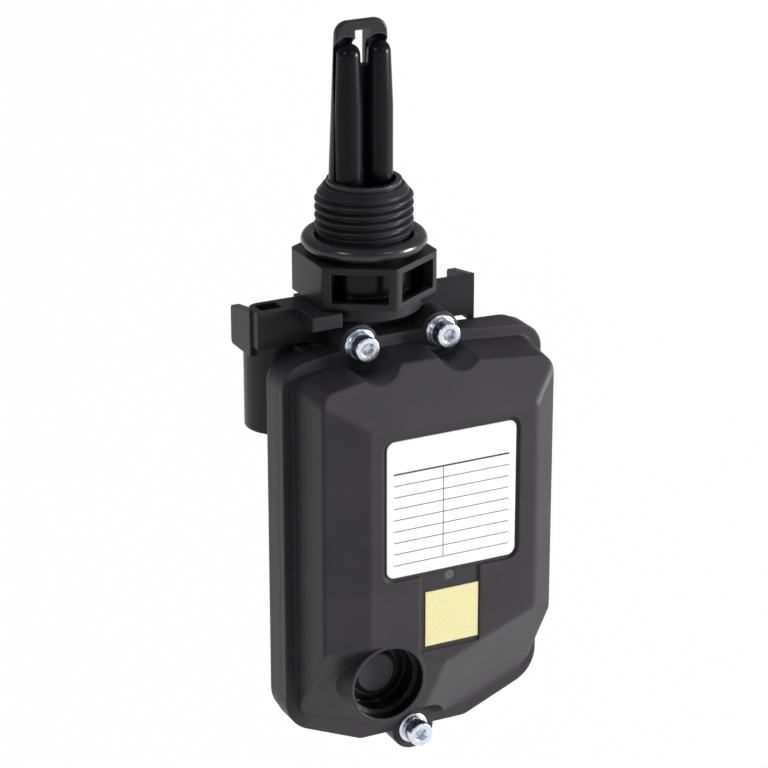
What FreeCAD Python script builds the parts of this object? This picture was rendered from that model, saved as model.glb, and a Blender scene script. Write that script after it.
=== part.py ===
import FreeCAD, Part
import math
import os

import Sketcher

# Electronic condensate drain with a level probe in its G 1/2 inlet.
# Millimetres. +Z points up along the inlet, -Y to the front. Heights in the
# sheet count from the seal face, the upper face of the hexagon. The finished
# nodes are set down so that the origin lies at the foot of the inlet thread.

Vector = FreeCAD.Vector

doc = FreeCAD.newDocument("condensate_drain")
sheet = doc.addObject("Spreadsheet::Sheet", "sizes")

SIZES = (
    # Inlet fitting
    ("thread_diameter", 20.955, "G 1/2 thread over its crests"),
    ("thread_top", 14.6, "end of the threaded stub above the seal face"),
    ("thread_chamfer", 2.4, "lead-in at the end of the stub, along the axis"),
    ("thread_lead", 1.9, "the same lead-in, towards the axis"),
    ("relief_diameter", 20.0, "relief under the thread, where the ring sits"),
    ("relief_height", 4.2, "foot of the thread above the seal face"),
    ("inlet_bore", 16.2, "bore through the stub"),
    ("hex_across", 27.0, "hexagon across flats"),
    ("hex_height", 9.15, "hexagon"),
    ("hex_edge_round", 1.5, "round on the six upright edges"),
    ("window_width", 12.0, "cored window in a hexagon flat"),
    ("window_rim", 1.4, "plate above and below the windows"),
    ("floor_hole", 15.0, "hole through the floor of the fitting"),
    ("floor_hole_offset", 2.9, "that hole behind the inlet axis"),
    ("neck_diameter", 20.0, "tube seen through the windows"),
    ("collar_diameter", 24.4, "round collar under the hexagon"),
    ("collar_height", 3.05, "collar"),
    ("fitting_floor", 1.6, "floor that closes the fitting"),
    ("ring_section", 3.4, "inlet ring"),
    ("ring_fit", 0.03, "play between the inlet ring and the relief"),
    ("ring_lift", 2.4, "middle of the inlet ring above the seal face"),
    # Level probe
    ("carrier_diameter", 16.0, "cup that carries the probe"),
    ("carrier_wall", 1.2, "cup"),
    ("carrier_top", 15.6, "rim of the cup above the seal face"),
    ("web_inset", 0.6, "foot of the guard blade from the cup wall"),
    ("flow_slot_inset", 0.4, "flow slot in the cup floor from the cup wall"),
    ("carrier_floor", 1.8, "floor of the cup"),
    ("sheath_diameter", 5.6, "probe finger"),
    ("sheath_tip_diameter", 5.0, "probe finger at its tip"),
    ("sheath_pitch", 7.06, "between the two fingers"),
    ("sheath_top", 45.0, "tip of a finger"),
    ("sheath_bore", 2.3, "bore for the electrode"),
    ("electrode_diameter", 2.0, "electrode rod"),
    ("electrode_gap", 5.0, "closed end of a finger above its electrode"),
    ("lead_diameter", 1.2, "thin tail of the electrode"),
    ("lead_level", 30.3, "tail below the seal face"),
    ("lead_drop", 6.0, "end of the tail behind the board"),
    ("lead_room", 0.15, "air round the tail"),
    ("guard_top", 49.4, "top of the guard loop"),
    ("guard_base_width", 14.6, "guard loop at the cup"),
    ("guard_top_width", 11.6, "guard loop at its top"),
    ("guard_front", 0.6, "front face of the guard behind the inlet axis"),
    ("guard_back", 3.9, "back face of the guard behind the inlet axis"),
    ("guard_round", 3.0, "upper corners of the guard"),
    ("guard_back_round", 2.4, "back edges of the guard"),
    ("guard_front_round", 0.5, "front edges of the guard"),
    ("guard_slot_width", 3.2, "slot between the fingers"),
    ("guard_slot_start", 1.8, "lower end of the slot above the cup"),
    ("guard_slot_top", 47.3, "upper end of the slot"),
    ("niche_top", 46.2, "round end of the niche behind a finger"),
    ("flow_slot_width", 3.0, "drain slot in the floor of the cup"),
    ("flow_slot_length", 3.2, "drain slot in the floor of the cup"),
    ("finger_room", 0.3, "air between a finger and the guard"),
    # Valve body with its wings
    ("wing_left", 26.5, "left wing, out from the inlet axis"),
    ("wing_right", 24.7, "right wing, out from the inlet axis"),
    ("wing_plate", 3.3, "right wing, front to back"),
    ("wing_round", 3.0, "back corner of the left wing"),
    ("wing_pocket_length", 5.0, "pocket in the left wing"),
    ("end_plate_left", 27.0, "left end plate, out from the inlet axis"),
    ("end_plate_right", 26.2, "right end plate, out from the inlet axis"),
    ("end_plate_front", 0.6, "front of the end plates ahead of the inlet axis"),
    ("end_plate_round", 1.0, "upper back corner of an end plate"),
    ("throat_block_width", 22.0, "upper part of the valve block"),
    ("throat_block_back", 12.0, "upper part of the block behind the inlet axis"),
    ("tail_pocket_width", 13.0, "pocket under the fingers"),
    ("tail_pocket_depth", 6.0, "pocket under the fingers"),
    ("pad_width", 12.6, "rubber pad under the fingers"),
    ("pad_depth", 5.4, "rubber pad under the fingers"),
    ("pad_thickness", 1.3, "rubber pad under the fingers"),
    ("finger_fit", 0.1, "play of a finger in the chamber floor"),
    ("channel_level", 30.2, "outlet channel below the seal face"),
    ("body_screw_side", 11.6, "screws that hold the shell to the block"),
    ("body_screw_level", 27.3, "those screws below the seal face"),
    ("pilot_past", 0.5, "pilot hole past the tip of such a screw"),
    ("body_screw_length", 10.0, "shank"),
    ("body_screw_head_height", 2.0, "low head"),
    ("wing_top", 9.4, "top of the wings below the seal face"),
    ("wing_height", 8.0, "front wall of a wing"),
    ("wing_front", 3.4, "front face ahead of the inlet axis"),
    ("wing_depth", 6.6, "left wing, front to back"),
    ("wing_wall", 1.6, "walls of the wings"),
    ("wing_pocket_wall", 1.2, "wall behind the pocket in the left wing"),
    ("wing_pocket", 2.2, "depth of the pocket in the left wing"),
    ("end_plate_depth", 9.7, "end plate, front to back"),
    ("end_plate_height", 10.3, "end plate at its front"),
    ("end_plate_slope", 1.7, "fall of its top edge towards the back"),
    ("shoulder_reach", 11.0, "left shoulder ahead of the inlet axis"),
    ("shoulder_side", 17.3, "left shoulder, out from the inlet axis"),
    ("shoulder_inner", 10.5, "left shoulder, its inner side"),
    ("shoulder_height", 3.0, "left shoulder"),
    ("block_width", 30.0, "valve block"),
    ("block_front", 5.8, "front of the block ahead of the inlet axis"),
    ("block_back", 17.5, "back of the block behind the inlet axis"),
    ("block_top", 17.4, "top of the block behind the wings"),
    ("block_bottom", 32.5, "underside of the block"),
    ("block_round", 2.0, "upright edges of the block"),
    ("throat_diameter", 15.0, "front part of the chamber"),
    ("throat_offset", 2.9, "middle of that part behind the inlet axis"),
    ("chamber_diameter", 12.4, "chamber above the seat"),
    ("chamber_roof", 19.0, "roof of the chamber"),
    ("chamber_floor", 25.0, "floor of the chamber"),
    ("floor_thickness", 3.0, "floor of the chamber"),
    ("valve_x", 4.4, "seat and solenoid axis, right of the inlet axis"),
    ("valve_offset", 10.0, "seat and solenoid axis behind the inlet axis"),
    ("plenum_diameter", 13.0, "space around the seat"),
    ("outlet_diameter", 15.8, "outlet boss"),
    ("outlet_bottom", 39.0, "mouth of the outlet boss"),
    ("outlet_side", 16.5, "outlet boss, left of the inlet axis"),
    ("outlet_offset", 7.2, "outlet boss, behind the inlet axis"),
    ("outlet_bore", 8.566, "G 1/8 outlet thread at its core"),
    ("outlet_bore_depth", 9.0, "threaded depth"),
    ("outlet_channel", 4.0, "channel from the plenum to the outlet"),
    ("face_gap", 0.5, "flat ring between fitting and valve body"),
    # Valve and solenoid
    ("seat_orifice", 3.0, "hole through the seat"),
    ("seat_diameter", 8.0, "seat insert"),
    ("seat_nozzle", 5.0, "raised lip of the seat"),
    ("seat_lip", 1.5, "lip below the chamber floor"),
    ("seal_diameter", 5.6, "sealing disc of the plunger"),
    ("seal_thickness", 1.8, "sealing disc"),
    ("plunger_diameter", 8.0, "plunger"),
    ("plunger_length", 20.0, "plunger"),
    ("plunger_travel", 1.6, "lift of the valve"),
    ("plunger_stop", 0.05, "gap left under the plunger when it is down"),
    ("seat_touch", 0.05, "gap between seat and seal at rest"),
    ("plunger_clearance", 0.08, "radial play in the guide tube"),
    ("spring_diameter", 3.2, "closing spring over its wire"),
    ("spring_wire", 0.45, "closing spring"),
    ("spring_turns", 9, "closing spring"),
    ("spring_end_gap", 0.05, "gap at each end of the spring"),
    ("spring_room", 0.15, "air round the spring in the plunger"),
    ("spring_bore_depth", 11.0, "bore in the plunger for the spring"),
    ("tube_wall", 0.42, "guide tube"),
    ("tube_flange_diameter", 16.0, "flange of the guide tube"),
    ("tube_flange_thickness", 1.4, "flange of the guide tube"),
    ("core_length", 8.2, "fixed core inside the tube"),
    ("stud_diameter", 4.0, "stud under the core"),
    ("stud_length", 4.2, "stud under the core"),
    ("coil_diameter", 19.4, "winding"),
    ("winding_margin", 0.4, "flange of the bobbin beyond the winding"),
    ("coil_room", 0.15, "air between coil parts and the tube"),
    ("yoke_gap", 0.1, "air between yoke and bobbin"),
    ("yoke_width", 16.0, "steel frame round the coil"),
    ("yoke_reach", 8.5, "steel frame ahead of the valve axis"),
    ("bobbin_wall", 0.8, "bobbin"),
    ("bobbin_flange", 1.2, "bobbin"),
    ("yoke_thickness", 1.2, "steel frame round the coil"),
    ("nut_across", 7.0, "nut under the coil"),
    ("nut_height", 2.4, "nut under the coil"),
    # Housing
    ("housing_left", 24.7, "left side of the housing, out from the inlet axis"),
    ("housing_right", 36.8, "right side of the housing"),
    ("housing_top_left", 19.5, "top edge at the left corner"),
    ("housing_top_right", 18.85, "top edge at the right corner"),
    ("housing_top_middle", 15.55, "top edge between the two screws"),
    ("housing_top_fall", 1.2, "step of the top edge beside the screws"),
    ("housing_bottom", 109.2, "bottom edge"),
    ("housing_bottom_corner", 101.7, "bottom edge at the two sides"),
    ("bottom_left", 6.85, "left end of the level bottom edge"),
    ("bottom_right", 18.95, "right end of the level bottom edge"),
    ("corner_top", 6.0, "round of the upper corners"),
    ("corner_bottom", 8.0, "round of the lower corners"),
    ("corner_low", 3.0, "round of the two lowest corners"),
    ("seam", 9.5, "joint of cover and shell ahead of the inlet axis"),
    ("flange_thickness", 2.0, "flange of the cover"),
    ("flange_width", 2.5, "flange of the cover beside the dome"),
    ("rim_depth", 3.5, "rim of the shell behind the joint"),
    ("shell_lap", 0.5, "depth that the rim and the body of the shell share"),
    ("shell_step", 0.3, "shell inside its rim"),
    ("recess_floor", 2.0, "shell under the valve block"),
    ("bulge_roof", 3.5, "shell between valve block and coil"),
    ("shell_back", 1.2, "back of the shell ahead of the inlet axis"),
    ("shell_top", 18.2, "top of the shell behind its rim"),
    ("shell_wall", 2.0, "walls of the shell"),
    ("shell_edge_round", 2.2, "round of the back edges"),
    ("recess_gap", 0.3, "air round the valve block in the shell"),
    ("recess_front", 8.1, "front of the wall that clears the valve block"),
    ("bulge_width", 25.2, "solenoid housing at the back"),
    ("bulge_back", 23.2, "back of the solenoid housing"),
    ("bulge_bottom", 68.0, "underside of the solenoid housing"),
    ("bulge_round", 4.0, "upright edges of the solenoid housing"),
    # Cover
    ("cover_wall", 2.0, "wall of the dome"),
    ("rebate", 0.5, "step inside the mouth of the dome"),
    ("dome_draft", 4.3, "draft of the dome walls, degrees"),
    ("face_front", 26.6, "front plane ahead of the inlet axis"),
    ("face_left", 11.7, "left edge of the front plane"),
    ("face_right", 28.0, "right edge of the front plane"),
    ("face_top", 30.8, "top edge of the front plane"),
    ("face_bottom", 86.5, "lowest edge of the front plane"),
    ("face_corner", 78.0, "lower edge of the front plane at its right end"),
    ("crease_round", 3.0, "round of the front creases"),
    ("facet_round", 0.7, "round between the facets and the dome walls"),
    ("facet_left_run", 9.5, "left facet, sideways"),
    ("facet_left_fall", 3.1, "left facet, backwards over that run"),
    ("facet_right_run", 5.3, "right facet, sideways"),
    ("facet_right_fall", 3.1, "right facet, backwards over that run"),
    ("facet_top_run", 8.7, "top facet, upwards"),
    ("facet_top_fall", 4.3, "top facet, backwards over that run"),
    ("facet_low_run", 22.8, "lower facets, away from the front plane"),
    ("facet_low_fall", 15.1, "lower facets, backwards over that run"),
    ("keel_x", 6.3, "lowest point of the front plane, right of the inlet axis"),
    ("screw_left", 6.85, "upper left screw, left of the inlet axis"),
    ("screw_right", 12.22, "upper right screw"),
    ("screw_top", 16.6, "upper screws below the seal face"),
    ("screw_low", 109.4, "lower screw below the seal face"),
    ("screw_low_side", 6.05, "lower screw, right of the inlet axis"),
    ("boss_diameter", 8.4, "screw boss"),
    ("boss_low_diameter", 10.0, "lower screw boss"),
    ("access_diameter", 11.0, "driver room in the dome at an upper screw"),
    ("access_low_diameter", 15.0, "driver room in the dome at the lower screw"),
    ("screw_hole", 3.4, "clearance hole for M3"),
    ("screw_head", 5.5, "M3 socket head"),
    ("screw_head_height", 3.0, "M3 socket head"),
    ("screw_shank", 3.0, "M3"),
    ("screw_length", 5.8, "M3 shank under the head"),
    ("screw_socket", 2.5, "hexagon socket across flats"),
    ("washer_fit", 0.1, "play of a screw in its washers"),
    ("washer_diameter", 7.0, "flat washer"),
    ("washer_thickness", 0.5, "flat washer"),
    ("lock_washer_diameter", 5.9, "split washer"),
    ("lock_washer_thickness", 0.8, "split washer"),
    ("insert_diameter", 4.6, "threaded insert"),
    ("insert_length", 3.0, "threaded insert"),
    # Front details
    ("label_x", 7.46, "middle of the label, right of the inlet axis"),
    ("label_z", 49.0, "middle of the label below the seal face"),
    ("label_width", 30.6, "label"),
    ("label_height", 31.0, "label"),
    ("label_round", 1.8, "corners of the label"),
    ("label_thickness", 0.25, "label"),
    ("label_margin", 0.9, "recess round the label"),
    ("label_recess", 0.5, "depth of the label recess"),
    ("patch_x", 7.2, "middle of the small recess"),
    ("patch_width", 14.2, "small recess"),
    ("patch_top", 64.5, "top of the small recess"),
    ("patch_bottom", 83.2, "bottom of the small recess"),
    ("patch_foot", 0.5, "recess past the foot of the square label"),
    ("patch_recess", 0.4, "depth of the small recess"),
    ("sticker_x", 7.7, "middle of the square sticker"),
    ("sticker_z", 75.7, "middle of the square sticker"),
    ("sticker_side", 12.7, "square sticker"),
    ("sticker_thickness", 0.2, "square sticker"),
    ("lamp_x", 7.2, "light guide"),
    ("lamp_z", 66.3, "light guide"),
    ("lamp_diameter", 2.2, "light guide"),
    ("lamp_fit", 0.05, "play round the light guide"),
    ("lamp_gap", 0.2, "air between lamp and light guide"),
    ("led_side", 3.0, "lamp on the board"),
    ("led_height", 1.6, "lamp on the board"),
    ("well_x", 7.5, "button well, left of the inlet axis"),
    ("well_z", 88.9, "button well below the seal face"),
    ("well_diameter", 17.9, "button well over its wall"),
    ("well_bore", 16.4, "button well, upper bore"),
    ("well_step", 14.8, "button well, bore under the step"),
    ("well_step_depth", 3.0, "step below the rim"),
    ("well_depth", 7.0, "floor of the well below the rim"),
    ("button_diameter", 10.2, "button cap"),
    ("button_face", 20.4, "face of the button ahead of the inlet axis"),
    ("button_crown", 0.8, "crown of the button"),
    ("button_stem", 4.0, "stem behind the cap"),
    ("button_flange", 12.6, "flange that holds the cap behind the floor"),
    ("button_flange_height", 0.8, "flange of the button"),
    ("button_flat", 2.6, "flat of the flange beside the lower facet, from the axis"),
    ("button_stop_gap", 0.3, "flange behind the floor at rest"),
    ("button_travel", 0.9, "travel of the button"),
    ("button_switch_gap", 0.15, "stem before the switch when pressed"),
    ("button_fit", 0.1, "radial play of the stem"),
    # Electronics
    ("board_front", 13.2, "component side of the board ahead of the axis"),
    ("board_thickness", 1.6, "circuit board"),
    ("board_left", 19.5, "left edge"),
    ("board_right", 31.8, "right edge"),
    ("board_top", 33.6, "top edge"),
    ("board_bottom", 93.5, "bottom edge"),
    ("post_diameter", 6.0, "posts that carry the board"),
    ("post_edge", 4.0, "post axis inside the board edges"),
    ("board_post_top", 38.5, "upper posts below the seal face"),
    ("board_screw_length", 6.0, "board screws"),
    ("board_screw_head_height", 1.6, "board screws"),
    ("board_screw_head", 4.6, "board screws"),
    ("board_screw_shank", 2.4, "board screws"),
    ("switch_side", 6.0, "push switch"),
    ("switch_height", 1.4, "push switch"),
    ("switch_cap", 3.4, "round cap of the push switch"),
    ("switch_cap_height", 0.6, "round cap of the push switch"),
    ("transformer_x", 0.0, "left side of the transformer"),
    ("transformer_top", 40.0, "transformer below the seal face"),
    ("transformer_width", 20.0, "transformer"),
    ("transformer_height", 22.0, "transformer"),
    ("transformer_depth", 9.0, "transformer"),
    ("terminal_x", 8.0, "left side of the terminal block"),
    ("terminal_top", 83.0, "terminal block below the seal face"),
    ("terminal_entry", 3.6, "wire entries"),
    ("terminal_width", 15.0, "terminal block"),
    ("terminal_height", 8.0, "terminal block"),
    ("terminal_depth", 5.4, "terminal block"),
    ("capacitor_x", 24.0, "right of the inlet axis"),
    ("capacitor_z", 66.0, "below the seal face"),
    ("capacitor_diameter", 8.0, "smoothing capacitor"),
    ("capacitor_length", 8.8, "smoothing capacitor"),
    ("gland_x", 16.0, "cable gland, right of the inlet axis"),
    ("gland_z", 86.0, "cable gland below the seal face"),
    ("gland_thread", 12.0, "cable gland thread M12"),
    ("gland_bore", 6.2, "way for a cable"),
    ("gland_hex", 15.0, "cable gland across flats"),
    ("gland_flange", 3.0, "hexagon of the gland"),
    ("gland_neck", 6.0, "thread under the gland nut"),
    ("gland_nut_length", 9.0, "gland nut"),
    ("gland_fit", 0.15, "play of the gland in the shell"),
    ("gland_nut_gap", 0.8, "gland nut behind the hexagon"),
    ("gland_seal_length", 1.5, "rubber ring under the gland nut"),
    ("locknut_height", 2.5, "nut inside the shell"),
)


class Size:
    """A length that knows its number and the sheet expression behind it."""

    def __init__(self, number, text):
        self.number = number
        self.text = text

    def join(self, other, sign, number):
        return Size(number, "(%s %s %s)" % (self.text, sign, size_of(other).text))

    def __add__(self, other):
        return self.join(other, "+", self.number + size_of(other).number)

    def __radd__(self, other):
        return size_of(other) + self

    def __sub__(self, other):
        return self.join(other, "-", self.number - size_of(other).number)

    def __rsub__(self, other):
        return size_of(other) - self

    def __mul__(self, other):
        return self.join(other, "*", self.number * size_of(other).number)

    def __rmul__(self, other):
        return size_of(other) * self

    def __truediv__(self, other):
        return self.join(other, "/", self.number / size_of(other).number)

    def __neg__(self):
        return Size(-self.number, "(0 - %s)" % self.text)


def size_of(value):
    """Any number as a Size."""
    return value if isinstance(value, Size) else Size(float(value), "%g" % value)


class Sheet:
    """The driving sizes, each readable by its name."""


size = Sheet()
for row, (alias, number, note) in enumerate(SIZES, 1):
    sheet.set("A%d" % row, alias)
    sheet.set("B%d" % row, "%g" % number)
    sheet.set("C%d" % row, note)
    sheet.setAlias("B%d" % row, alias)
    setattr(size, alias, Size(float(number), "sizes." + alias))
doc.recompute()

SMALL = 1e-9
SAME = 0.01
LEAST_ROUND = 0.5
TERMINALS = 3
CUT_PAST = 1.0


def bind(thing, prop, value):
    """Ties one property of an object to the sheet."""
    thing.setExpression(prop, size_of(value).text)


def place(thing, x=0, y=0, z=0):
    bind(thing, "Placement.Base.x", x)
    bind(thing, "Placement.Base.y", y)
    bind(thing, "Placement.Base.z", z)
    return thing


# Simple solids

TURNS = {
    "+Z": FreeCAD.Rotation(),
    "-Z": FreeCAD.Rotation(Vector(1, 0, 0), 180),
    "-Y": FreeCAD.Rotation(Vector(1, 0, 0), 90),
    "+Y": FreeCAD.Rotation(Vector(1, 0, 0), -90),
    "-X": FreeCAD.Rotation(Vector(0, 1, 0), -90),
    "+X": FreeCAD.Rotation(Vector(0, 1, 0), 90),
}


def cylinder(name, diameter, length, x=0, y=0, z=0, way="+Z"):
    """A cylinder that grows from x, y, z along the given way."""
    solid = doc.addObject("Part::Cylinder", name)
    bind(solid, "Radius", size_of(diameter) / 2)
    bind(solid, "Height", length)
    solid.Placement = FreeCAD.Placement(Vector(), TURNS[way])
    return place(solid, x, y, z)


def prism(name, across, length, x=0, y=0, z=0, way="+Z"):
    """A hexagonal prism, measured across its flats."""
    solid = doc.addObject("Part::Prism", name)
    solid.Polygon = 6
    bind(solid, "Circumradius", size_of(across) / (2 * math.cos(math.pi / 6)))
    bind(solid, "Height", length)
    solid.Placement = FreeCAD.Placement(Vector(), TURNS[way])
    return place(solid, x, y, z)


def box(name, x, y, z, width, depth, height):
    """A box with its lowest corner at x, y, z."""
    solid = doc.addObject("Part::Box", name)
    bind(solid, "Length", width)
    bind(solid, "Width", depth)
    bind(solid, "Height", height)
    return place(solid, x, y, z)


def torus(name, mean_diameter, section, x=0, y=0, z=0, way="+Z"):
    solid = doc.addObject("Part::Torus", name)
    bind(solid, "Radius1", size_of(mean_diameter) / 2)
    bind(solid, "Radius2", size_of(section) / 2)
    solid.Placement = FreeCAD.Placement(Vector(), TURNS[way])
    return place(solid, x, y, z)


def ball(name, diameter, x=0, y=0, z=0):
    solid = doc.addObject("Part::Sphere", name)
    bind(solid, "Radius", size_of(diameter) / 2)
    return place(solid, x, y, z)


def cone(name, start, end, length, x=0, y=0, z=0, way="+Z"):
    """A cone between two diameters that grows from x, y, z along the given way."""
    solid = doc.addObject("Part::Cone", name)
    bind(solid, "Radius1", size_of(start) / 2)
    bind(solid, "Radius2", size_of(end) / 2)
    bind(solid, "Height", length)
    solid.Placement = FreeCAD.Placement(Vector(), TURNS[way])
    return place(solid, x, y, z)


def cut(name, base, *tools):
    """The base less each of the tools."""
    solid = base
    for number, tool in enumerate(tools, 1):
        last = number == len(tools)
        step = doc.addObject("Part::Cut", name if last else "%s_cut_%d" % (name, number))
        step.Base = solid
        step.Tool = tool
        solid = step
    return solid


def fuse(name, *solids):
    joined = doc.addObject("Part::MultiFuse", name)
    joined.Shapes = list(solids)
    joined.Refine = True
    return joined


def group(name, *solids):
    """Separate solids that share one node."""
    joined = doc.addObject("Part::Compound", name)
    joined.Links = list(solids)
    return joined


# Sketched bodies

def new_body(name):
    body = doc.addObject("PartDesign::Body", name)
    body.Label = name
    return body


def new_sketch(body, name, plane, level=0, turn=None):
    """A sketch on an origin plane, moved along its normal.

    On the XZ plane the normal points to the front, so level counts forwards.
    """
    sketch = body.newObject("Sketcher::SketchObject", name)
    support = [part for part in body.Origin.OriginFeatures if part.Role == plane][0]
    sketch.AttachmentSupport = (support, [""])
    sketch.MapMode = "FlatFace"
    if turn is not None:
        sketch.AttachmentOffset = FreeCAD.Placement(Vector(), turn)
    bind(sketch, "AttachmentOffset.Base.z", level)
    return sketch


def tie(sketch, axis, geometry, point, value):
    """Holds one coordinate of a sketch point to the sheet."""
    value = size_of(value)
    if abs(value.number) < SMALL:
        line = -2 if axis == "X" else -1
        sketch.addConstraint(Sketcher.Constraint("PointOnObject", geometry, point, line))
        return
    ends = (-1, 1, geometry, point)
    if value.number < 0:
        ends = (geometry, point, -1, 1)
        value = -value
    rule = Sketcher.Constraint("Distance" + axis, *ends, value.number)
    index = sketch.addConstraint(rule)
    bind(sketch, "Constraints[%d]" % index, value)


def outline(sketch, corners):
    """Adds a closed run of straight lines with every corner tied."""
    corners = [(size_of(x), size_of(y)) for x, y in corners]
    points = [Vector(x.number, y.number, 0) for x, y in corners]
    first = sketch.GeometryCount
    count = len(points)
    for index in range(count):
        sketch.addGeometry(Part.LineSegment(points[index], points[(index + 1) % count]), False)
    for index in range(count):
        following = first + (index + 1) % count
        sketch.addConstraint(Sketcher.Constraint("Coincident", first + index, 2, following, 1))
    for index, (x, y) in enumerate(corners):
        tie(sketch, "X", first + index, 1, x)
        tie(sketch, "Y", first + index, 1, y)


def rectangle(sketch, left, low, right, high):
    outline(sketch, [(left, low), (right, low), (right, high), (left, high)])


def volume_of(body):
    doc.recompute()
    return body.Shape.Volume


def add(body, sketch, length, name, reverse=False, taper=None):
    """A pad. It has to grow the body."""
    before = volume_of(body) if body.Tip else 0.0
    feature = body.newObject("PartDesign::Pad", name)
    feature.Profile = sketch
    feature.Reversed = reverse
    bind(feature, "Length", length)
    if taper is not None:
        bind(feature, "TaperAngle", taper)
    if volume_of(body) <= before:
        raise ValueError(name + " adds nothing")
    return feature


def remove(body, sketch, length, name, reverse=False, both=False, through=False):
    """A pocket. It has to take something away."""
    before = volume_of(body)
    feature = body.newObject("PartDesign::Pocket", name)
    feature.Profile = sketch
    feature.Reversed = reverse
    if both:
        feature.SideType = "Symmetric"
    if through:
        feature.Type = "ThroughAll"
    else:
        bind(feature, "Length", length)
    if volume_of(body) >= before:
        raise ValueError(name + " cuts nothing")
    return feature


def revolve(body, sketch, name):
    feature = body.newObject("PartDesign::Revolution", name)
    feature.Profile = sketch
    feature.ReferenceAxis = (sketch, ["V_Axis"])
    feature.Angle = 360
    doc.recompute()
    return feature


def edges_where(feature, test):
    return ["Edge%d" % n for n, edge in enumerate(feature.Shape.Edges, 1) if test(edge)]


def round_edges(body, radius, name, test):
    """A fillet on the edges of the body that pass the test."""
    doc.recompute()
    names = edges_where(body.Tip, test)
    if not names:
        raise ValueError(name + " finds no edge")
    base = body.Tip
    feature = body.newObject("PartDesign::Fillet", name)
    feature.Base = (base, names)
    bind(feature, "Radius", radius)
    doc.recompute()
    return feature


def along(edge, way, tolerance=0.02):
    """True for a straight edge that runs along the given axis."""
    if edge.Curve.TypeId != "Part::GeomLine":
        return False
    run = edge.Vertexes[-1].Point - edge.Vertexes[0].Point
    return run.Length > 0 and abs(abs(run.normalize().dot(way)) - 1) < tolerance


def middle(edge):
    return edge.CenterOfMass


AXIS_X = Vector(1, 0, 0)
AXIS_Y = Vector(0, 1, 0)
AXIS_Z = Vector(0, 0, 1)


# The housing outline, seen from the front, and its insets

OUTLINE = (
    (-size.housing_left, -size.housing_top_left),
    (-size.screw_left, -(size.housing_top_middle + size.housing_top_fall)),
    (-size.screw_left, -size.housing_top_middle),
    (size.screw_right, -size.housing_top_middle),
    (size.screw_right, -(size.housing_top_middle + size.housing_top_fall)),
    (size.housing_right, -size.housing_top_right),
    (size.housing_right, -size.housing_bottom_corner),
    (size.bottom_right, -size.housing_bottom),
    (-size.bottom_left, -size.housing_bottom),
    (-size.housing_left, -size.housing_bottom_corner),
)
ROUNDED = {
    0: size.corner_top, 5: size.corner_top, 6: size.corner_bottom, 9: size.corner_bottom,
    7: size.corner_low, 8: size.corner_low,
}
SCREWS = (
    (-size.screw_left, -size.screw_top, size.boss_diameter),
    (size.screw_right, -size.screw_top, size.boss_diameter),
    (size.screw_low_side, -size.screw_low, size.boss_low_diameter),
)
ACCESS = (size.access_diameter, size.access_diameter, size.access_low_diameter)


def inset(width):
    """The outline moved inwards by width on every side."""
    corners = [Vector(x.number, y.number, 0) for x, y in OUTLINE]
    moved = []
    for index, (x, y) in enumerate(OUTLINE):
        here = corners[index]
        before = (here - corners[index - 1]).normalize()
        after = (corners[(index + 1) % len(corners)] - here).normalize()
        inward = Vector(before.y + after.y, -before.x - after.x, 0)
        inward = inward * (1 / (1 + before.dot(after)))
        moved.append((x + size_of(width) * round(inward.x, 9), y + size_of(width) * round(inward.y, 9)))
    return moved


def plate(name, width, front, depth, taper=None, top=None):
    """The outline less width, from its front plane back by depth.

    With a taper it grows forwards instead and narrows by that angle.
    """
    body = new_body(name)
    corners = inset(width)
    if top is not None:
        corners = [(x, -top) if y.number > -top.number else (x, y) for x, y in corners]
        corners = [corners[0]] + corners[2:4] + corners[5:]
        corners[1] = (corners[1][0], -top)
        corners[2] = (corners[2][0], -top)
    sketch = new_sketch(body, name + "_outline", "XZ_Plane", front)
    outline(sketch, corners)
    add(body, sketch, depth, name + "_pad", reverse=taper is None, taper=taper)
    offset = len(OUTLINE) - len(corners)
    points = [Vector(x.number, y.number, 0) for x, y in corners]
    half_depth = size_of(depth).number / 2
    for index, radius in ROUNDED.items():
        spot = points[index - offset if index > 4 else index]
        left = radius - width
        if left.number < LEAST_ROUND:
            continue

        def at_corner(edge, spot=spot):
            ends = [Vector(v.X, v.Z, 0) for v in edge.Vertexes]
            near = min((end - spot).Length for end in ends) < SAME
            return near and abs(edge.Vertexes[0].Y - edge.Vertexes[-1].Y) > half_depth

        round_edges(body, left, "%s_round_%d" % (name, index), at_corner)
    return body


# Inlet fitting: stub, windowed hexagon, collar

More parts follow.
